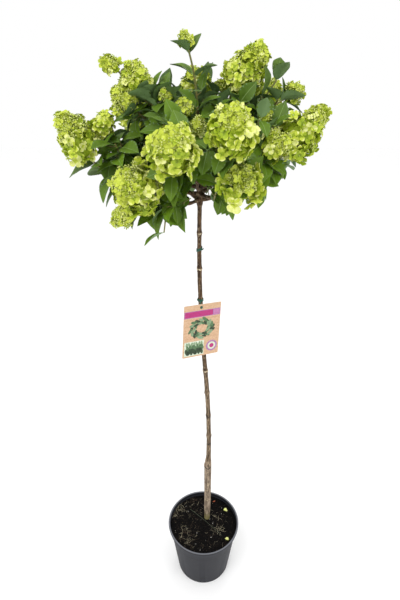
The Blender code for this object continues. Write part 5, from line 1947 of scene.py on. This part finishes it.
compostColours = {
    "soil": ((9, 8, 9), (25, 22, 21)),
    "crumb": ((12, 11, 11), (50, 45, 41)),
    "chip": ((40, 34, 31), (74, 64, 55)),
    "fibre": ((140, 132, 110), (200, 192, 166)),
    "grain": ((190, 188, 180), (222, 220, 212)),
    "red": ((150, 78, 54), (190, 112, 84)),
    "twig": ((74, 82, 70), (112, 116, 98)),
    "brown": ((64, 54, 46), (104, 90, 76)),
}
soil, crumb, chip, fibre, grain, red, stick, brown = range(len(compostColours))
soilMaterials = []
for name, colours in compostColours.items():
    roughness, more = (0.7 if name == "grain" else 0.9, 0.0), {"Specular IOR Level": 0.12}
    surface = grained(colours, (420.0, 5.0, 0.7), roughness, (0.42, 0.72), (0.8, 0.0012), more=more)
    soilMaterials.append(finish("compost-" + name, surface))
settle(buildCompost().piece("compostSoil", soilMaterials), "compost", "compost")
chance = random.Random("compost crumbs")
litter = Heap()
count, edge, sizes = compost["crumbs"]
for i in range(count):
    size = sized(sizes, chance, 2.2)
    addCrumb(litter, scattered(chance, edge), size, crumb if i % 3 else soil, chance)
count, edge, sizes = compost["chips"]
for i in range(count):
    addChip(litter, scattered(chance, edge), sized(sizes, chance, 2), chip, chance)
count, edge, sizes = compost["grains"]
for i in range(count):
    addCrumb(litter, scattered(chance, edge) + up * 0.0005, sized(sizes, chance), grain, chance)
for x, y in compost["paleGrains"]:
    addCrumb(litter, onCompost(x, y, 0.0008), 0.0016, grain, chance)
count, edge, sizes = compost["fibres"]
for i in range(count):
    place = scattered(chance, edge)
    if place.x > 0.0 and chance.random() < 0.45:  # most fibres lie on the left and front
        continue
    length, thickness = sized(sizes, chance), sized(compost["fibreThickness"], chance)
    addFibre(litter, place, length, thickness, brown if i % 3 else fibre, chance)
for x, y, count, pale in compost["clumps"]:
    for i in range(count):
        aside, back = [chance.random() + chance.random() - 1.0 for _ in range(2)]
        spot = Vector((x + 0.019 * aside, y + 0.017 * back))
        which = fibre if chance.random() < pale else brown
        length, thickness = sized((0.006, 0.014), chance), sized((0.00024, 0.0002), chance)
        addFibre(litter, onCompost(*spot, 0.0008), length, thickness, which, chance)
settle(litter.piece("compostLitter", soilMaterials), "compost")

fallen = {
    "sepals": ((0.0805, 0.046, 0.5), (0.0785, -0.0555, 1.9)),
    "scale": 1.2,
    "redChip": (0.0364, 0.0833),
    "twig": ((-0.0449, 0.0548), (-0.0146, 0.0289), (0.0212, -0.0033), (0.0587, -0.0411)),
}

heap = Heap()
chance = random.Random("fallen")
for x, y, turn in fallen["sepals"]:
    lean = Vector((0.3 * math.cos(turn), 0.3 * math.sin(turn), 1.0)).normalized()
    addFloret(heap, onCompost(x, y, 0.0022), lean, fallen["scale"], 0, chance, parts=1)
settle(heap.piece("fallenSepals", sepalMaterials[:1]), "foliage")
heap = Heap()
addChip(heap, onCompost(*fallen["redChip"], 0.001), 0.0052, 0, chance)
path = curvePoints([onCompost(x, y, 0.003) for x, y in fallen["twig"]], 16)
heap.add(*tube(path, [0.0007 - 0.00002 * i for i in range(16)], 6), 1)
settle(heap.piece("compostBits", soilMaterials[red:stick + 1]), "compost")
print("compost made")


# Ties and the hanging label

ties = {
    "band": 0.0065,
    "thickness": 0.0014,
    "slant": {"tie_upper": 24.0, "tie_lower": 0.0},
    "slack": 0.00042,
    "sides": 40,
    "tongueRadius": 0.0016,
    "tongueDrop": 0.012,
    "tongueAside": 0.002,
    "tongueStraight": 0.0024,
    "tongueBehind": 0.0045,
    "tongueEase": 0.003,
    "knobRadius": 0.0036,
    "knobDepths": (0.0008, 0.0022),
}
label = {
    "width": 0.096,
    "height": 0.14,
    "thickness": 0.001,
    "corner": 0.0025,
    "holeRadius": 0.002,
    "holeInset": 0.008,
    "holeAside": 0.0037,
    "lean": 5.0,
    "turn": 24.0,
    "roll": 5.2,
    "standOff": 0.0105,
    "inkDepth": 0.00006,
}


def tieRadii(name):
    height = tieHeights[name]
    inner = max(trunkRadius(height - ties["band"]), trunkRadius(height + ties["band"])) + ties["slack"]
    return inner, inner + ties["thickness"]


def addBand(heap, name):
    # a soft strap with rounded edges, a little wavy
    middle = trunkAxis(tieHeights[name])
    slope = math.tan(math.radians(ties["slant"][name]))
    inner, outer = tieRadii(name)
    half = ties["band"] / 2
    section = []
    for x, z, start in ((outer, half, 0), (inner, half, 90), (inner, -half, 180), (outer, -half, 270)):
        corner = ties["thickness"] * 0.42
        cx = x - math.copysign(corner, x - (inner + outer) / 2)
        cz = z - math.copysign(corner, z)
        for k in range(4):
            turn = math.radians(start + 30 * k)
            section.append((cx + corner * math.cos(turn), cz + corner * math.sin(turn)))
    points, faces, sides, count = [], [], ties["sides"], len(section)
    for k in range(sides):
        turn = 2 * math.pi * k / sides
        wave = 0.00035 * math.sin(3 * turn + 0.5)
        for reach, rise in section:
            x, y = math.cos(turn) * reach, math.sin(turn) * reach
            points.append(middle + Vector((x, y, x * slope + rise + wave)))
    for k in range(sides):
        faces += band(k * count, (k + 1) % sides * count, count, True)
    heap.add(points, faces)


def labelHole():
    middle = trunkAxis(tieHeights["tie_lower"])
    before = -trunkRadius(middle.z) - label["standOff"]
    return middle + Vector((ties["tongueAside"], before, -ties["tongueDrop"]))


def labelMatrix():
    turn = Matrix.Rotation(math.radians(label["turn"]), 4, "Z")
    roll = Matrix.Rotation(math.radians(label["roll"]), 4, "Y")
    lean = Matrix.Rotation(math.radians(-label["lean"]), 4, "X")
    return Matrix.Translation(labelHole()) @ turn @ roll @ lean


def addTongue(heap):
    through = (labelMatrix().to_3x3() @ Vector((0, -1, 0))).normalized()
    hole = labelHole()
    inner, outer = tieRadii("tie_lower")
    root = trunkAxis(tieHeights["tie_lower"]) - Vector((0.0, (inner + outer) / 2, 0.0))
    start = root - Vector((0.0, ties["tongueStraight"], 0.0))
    behind = hole - through * ties["tongueBehind"]
    ease = ties["tongueEase"]
    guides = (start, start - Vector((0.0, ease, 0.0)), behind - through * ease, behind)
    path = [root] + curvePoints(guides, 14) + [hole + through * ties["knobDepths"][1]]
    radii = [ties["tongueRadius"] * (1.35 - 0.35 * min(1.0, i / 5)) for i in range(len(path))]
    heap.add(*tube(path, radii, 14))
    path, radii = [hole + through * 0.0006], [ties["knobRadius"] * 0.96]
    for turn in np.linspace(0, 1.45, 7):  # the knob's rounded front
        path.append(hole + through * (ties["knobDepths"][0] + 0.0026 * math.sin(turn)))
        radii.append(ties["knobRadius"] * math.cos(turn))
    heap.add(*tube(path, radii, 18))


def addTail(heap, name, start, reach):
    # the free end of a strap, which stands off to one side
    middle = trunkAxis(tieHeights[name])
    inner, outer = tieRadii(name)
    turn = math.radians(start)
    out = Vector((math.cos(turn), math.sin(turn), 0.0))
    aside = Vector((-out.y, out.x, 0.0))
    root = middle + out * outer
    early, late = root + aside * reach * 0.4, root + aside * reach * 0.7 + out * 0.001
    guides = (root - aside * 0.002, early, late, root + aside * reach * 0.8 + up * reach * 0.5)
    heap.add(*tube(curvePoints(guides, 9), [0.0013] * 6 + [0.0012, 0.001, 0.0006], 8))


tieColours = (22, 66, 52), (34, 88, 70)
tieSurface = grained(tieColours, (260.0, 3.0), (0.42, 0.15), (0.3, 0.7), (0.2, 0.0004))
tieMaterial = finish("tie-plastic", tieSurface)
heap = Heap()
addBand(heap, "tie_upper")
addTail(heap, "tie_upper", -60.0, 0.008)
settle(heap.piece("tieUpper", [tieMaterial], 50.0), "tie", "tie_upper")
heap = Heap()
addBand(heap, "tie_lower")
addTongue(heap)
addTail(heap, "tie_lower", 190.0, 0.006)
settle(heap.piece("tieLower", [tieMaterial], 50.0), "tie", "tie_lower")


def cardOutline(left, right, bottom, top, corner, steps):
    outline = []
    for x, z, start in ((right, top, 0), (left, top, 90), (left, bottom, 180), (right, bottom, 270)):
        centreX = x - corner if x == right else x + corner
        centreZ = z - corner if z == top else z + corner
        for k in range(steps):
            turn = math.radians(start + 90 * k / (steps - 1))
            outline.append((centreX + corner * math.cos(turn), centreZ + corner * math.sin(turn)))
    return outline


def addCard(heap, which):
    left, right = label["holeAside"] - label["width"] / 2, label["holeAside"] + label["width"] / 2
    top, bottom = label["holeInset"], label["holeInset"] - label["height"]
    outer = cardOutline(left, right, bottom, top, label["corner"], 8)
    count = len(outer)
    hole = []
    for x, z in outer:
        turn = math.atan2(z, x)
        hole.append((label["holeRadius"] * math.cos(turn), label["holeRadius"] * math.sin(turn)))
    points, half = [], label["thickness"] / 2
    for depth in (-half, half):
        for ring in (outer, hole):
            points += [Vector((x, depth, z)) for x, z in ring]
    flats = band(0, count, count), band(2 * count, 3 * count, count, True)
    edges = band(0, 2 * count, count, True), band(count, 3 * count, count)
    faces = [face for four in zip(*flats, *edges) for face in four]
    front, back = which
    heap.add(points, faces, [front, back, back, back] * count)


def rectangle(x0, x1, z0, z1):
    return [(x1, z1), (x0, z1), (x0, z0), (x1, z0)]


def oval(x, z, size, halves=(1.0, 1.0), turn=0.0, count=14):
    outline = []
    for k in range(count):
        angle = 2 * math.pi * k / count
        u, v = math.cos(angle) * size * halves[0], math.sin(angle) * size * halves[1]
        across = x + u * math.cos(turn) - v * math.sin(turn)
        outline.append((across, z + u * math.sin(turn) + v * math.cos(turn)))
    return outline


labelInks = {
    "sand": ((208, 173, 139), (193, 155, 121)),
    "back": ((216, 212, 204), (204, 200, 192)),
    "magenta": ((178, 44, 116), (164, 38, 104)),
    "violet": ((170, 122, 168), (154, 104, 154)),
    "green": ((92, 122, 84), (66, 98, 62)),
    "pale": ((214, 222, 204), (190, 206, 178)),
    "deepGreen": ((34, 54, 34), (50, 72, 44)),
    "sage": ((136, 158, 124), (112, 138, 102)),
    "line": ((168, 122, 84), (150, 104, 72)),
    "rose": ((208, 120, 168), (196, 104, 154)),
}


def buildLabel():
    inks = list(labelInks)
    heap = Heap()
    addCard(heap, (inks.index("sand"), inks.index("back")))
    front = -label["thickness"] / 2

    def printed(ink, layer, outline):  # a thin raised plate on the card's front
        raised = front - label["inkDepth"] * layer
        near = [Vector((x, raised, z)) for x, z in outline]
        far = [Vector((x, raised + label["inkDepth"] * layer, z)) for x, z in outline]
        heap.add(*plate(near, far), inks.index(ink))

    def leafAt(ink, layer, x, z, turn, length):
        printed(ink, layer, oval(x, z, length, (0.5, 0.22), turn))

    cx = label["holeAside"]
    x0, x1 = cx - label["width"] / 2, cx + label["width"] / 2
    chance = random.Random("label print")
    for z in (-0.03, -0.047, -0.064, -0.081, -0.098, -0.115):  # seams between planks, and their nails
        printed("line", 1, rectangle(x0 + 0.001, x1 - 0.001, z - 0.0005, z))
        for x in (x0 + 0.006, x1 - 0.006):
            printed("line", 1, oval(x, z + 0.008, 0.0008, count=8))
    printed("violet", 1, rectangle(x0 + 0.001, x1 - 0.001, -0.025, -0.0075))
    printed("magenta", 2, rectangle(x0 + 0.003, x1 - 0.02, -0.0235, -0.009))
    for k in range(4):  # light bars at the band's right end
        x = x1 - 0.017 + 0.0038 * k
        printed("rose", 2, rectangle(x, x + 0.0016, -0.023, -0.0095))
    for ring, (count, radius, size) in enumerate(((19, 0.0245, 0.017), (14, 0.0165, 0.015))):
        for k in range(count):  # a wreath of leaves
            turn = 2 * math.pi * (k + 0.4 * ring) / count
            reach = radius * vary(chance, 0.1)
            x, z = cx + reach * 1.15 * math.cos(turn), -0.056 + reach * 0.92 * math.sin(turn)
            ink, layer = ("deepGreen", "green", "sage")[(k + ring) % 3], 2 + ring * 3 + k % 3
            lean = turn + 1.0 + 0.9 * (chance.random() - 0.5)
            leafAt(ink, layer, x, z, lean, size * vary(chance, 0.15))
    printed("pale", 1, rectangle(x0 + 0.004, x0 + 0.056, -0.128, -0.089))
    rows = (("sage", -0.097, 0.013), ("green", -0.106, 0.016), ("deepGreen", -0.117, 0.019))
    for row, (ink, z, size) in enumerate(rows):
        for k in range(7):  # rows of upright leaves before a pale ground
            x = x0 + 0.0105 + 0.0065 * k + 0.0022 * (row % 2)
            leafAt(ink, 2 + row, x, z, 1.57 + 0.35 * math.sin(k * 2.1 + row), size)
    rings = (("violet", 0.015, 28), ("pale", 0.0105, 24), ("magenta", 0.006, 20))
    for layer, (ink, radius, count) in enumerate(rings, 1):
        printed(ink, layer, oval(x1 - 0.019, -0.108, radius, count=count))
    materials = []
    for name, colours in labelInks.items():
        relief, fine = (0.08, 0.0005), (90.0, 2.0)
        surface = grained(colours, (300.0, 3.0), (0.34, 0.1), (0.35, 0.65), relief, fine)
        materials.append(finish("ink-" + name, surface))
    piece = heap.piece("labelCard", materials, 30.0)
    piece.data.transform(labelMatrix())
    return piece


settle(buildLabel(), "label", "label")
print("ties and label made")


# Floor, light and camera

studio = {
    "floor": ((254, 254, 254), (253, 253, 253)),
    "floorHalf": 6.0,
    "world": 1.0,
    "target": (0.0, 0.0, 1.1),
    "lights": {  # place, size across and energy
        "keyLight": ((-0.9, -1.3, 3.0), 1.6, 26.0),
        "fillLight": ((1.6, -1.0, 1.9), 1.4, 9.0),
        "rimLight": ((0.6, 1.9, 2.3), 1.2, 7.0),
    },
}
view = {"place": (-0.0113, -0.9378, 1.602), "pitch": 59.08, "lens": 28.2, "sensor": 36.0}

half = studio["floorHalf"]
heap = Heap()
heap.add([(-half, -half, 0), (half, -half, 0), (half, half, 0), (-half, half, 0)], [(0, 1, 2, 3)])
floor = heap.piece("floor", [finish("floor", grained(studio["floor"], (3.0,), (0.85, 0.0)))])
floor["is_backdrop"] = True
for name, (place, size, energy) in studio["lights"].items():
    light = bpy.data.lights.new(name, "AREA")
    light.shape = "DISK"
    light.size = size
    light.energy = energy
    lamp = placeObject(name, light)
    lamp.location = place
    lamp.rotation_euler = (Vector(studio["target"]) - Vector(place)).to_track_quat("-Z", "Y").to_euler()
world = bpy.data.worlds.new("studio")
world.use_nodes = True
background = world.node_tree.nodes["Background"].inputs
background["Color"].default_value = (1.0, 1.0, 1.0, 1.0)
background["Strength"].default_value = studio["world"]
scene = bpy.context.scene
scene.world = world
scene.view_settings.view_transform = "Standard"

camera = bpy.data.cameras.new("camera")
camera.lens = view["lens"]
camera.sensor_width = view["sensor"]
scene.camera = placeObject("camera", camera)
scene.camera.location = view["place"]
scene.camera.rotation_euler = (math.radians(view["pitch"]), 0.0, 0.0)

low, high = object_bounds()
{"cad": [list(cadLow), list(cadHigh)], "visual": [list(low), list(high)]}
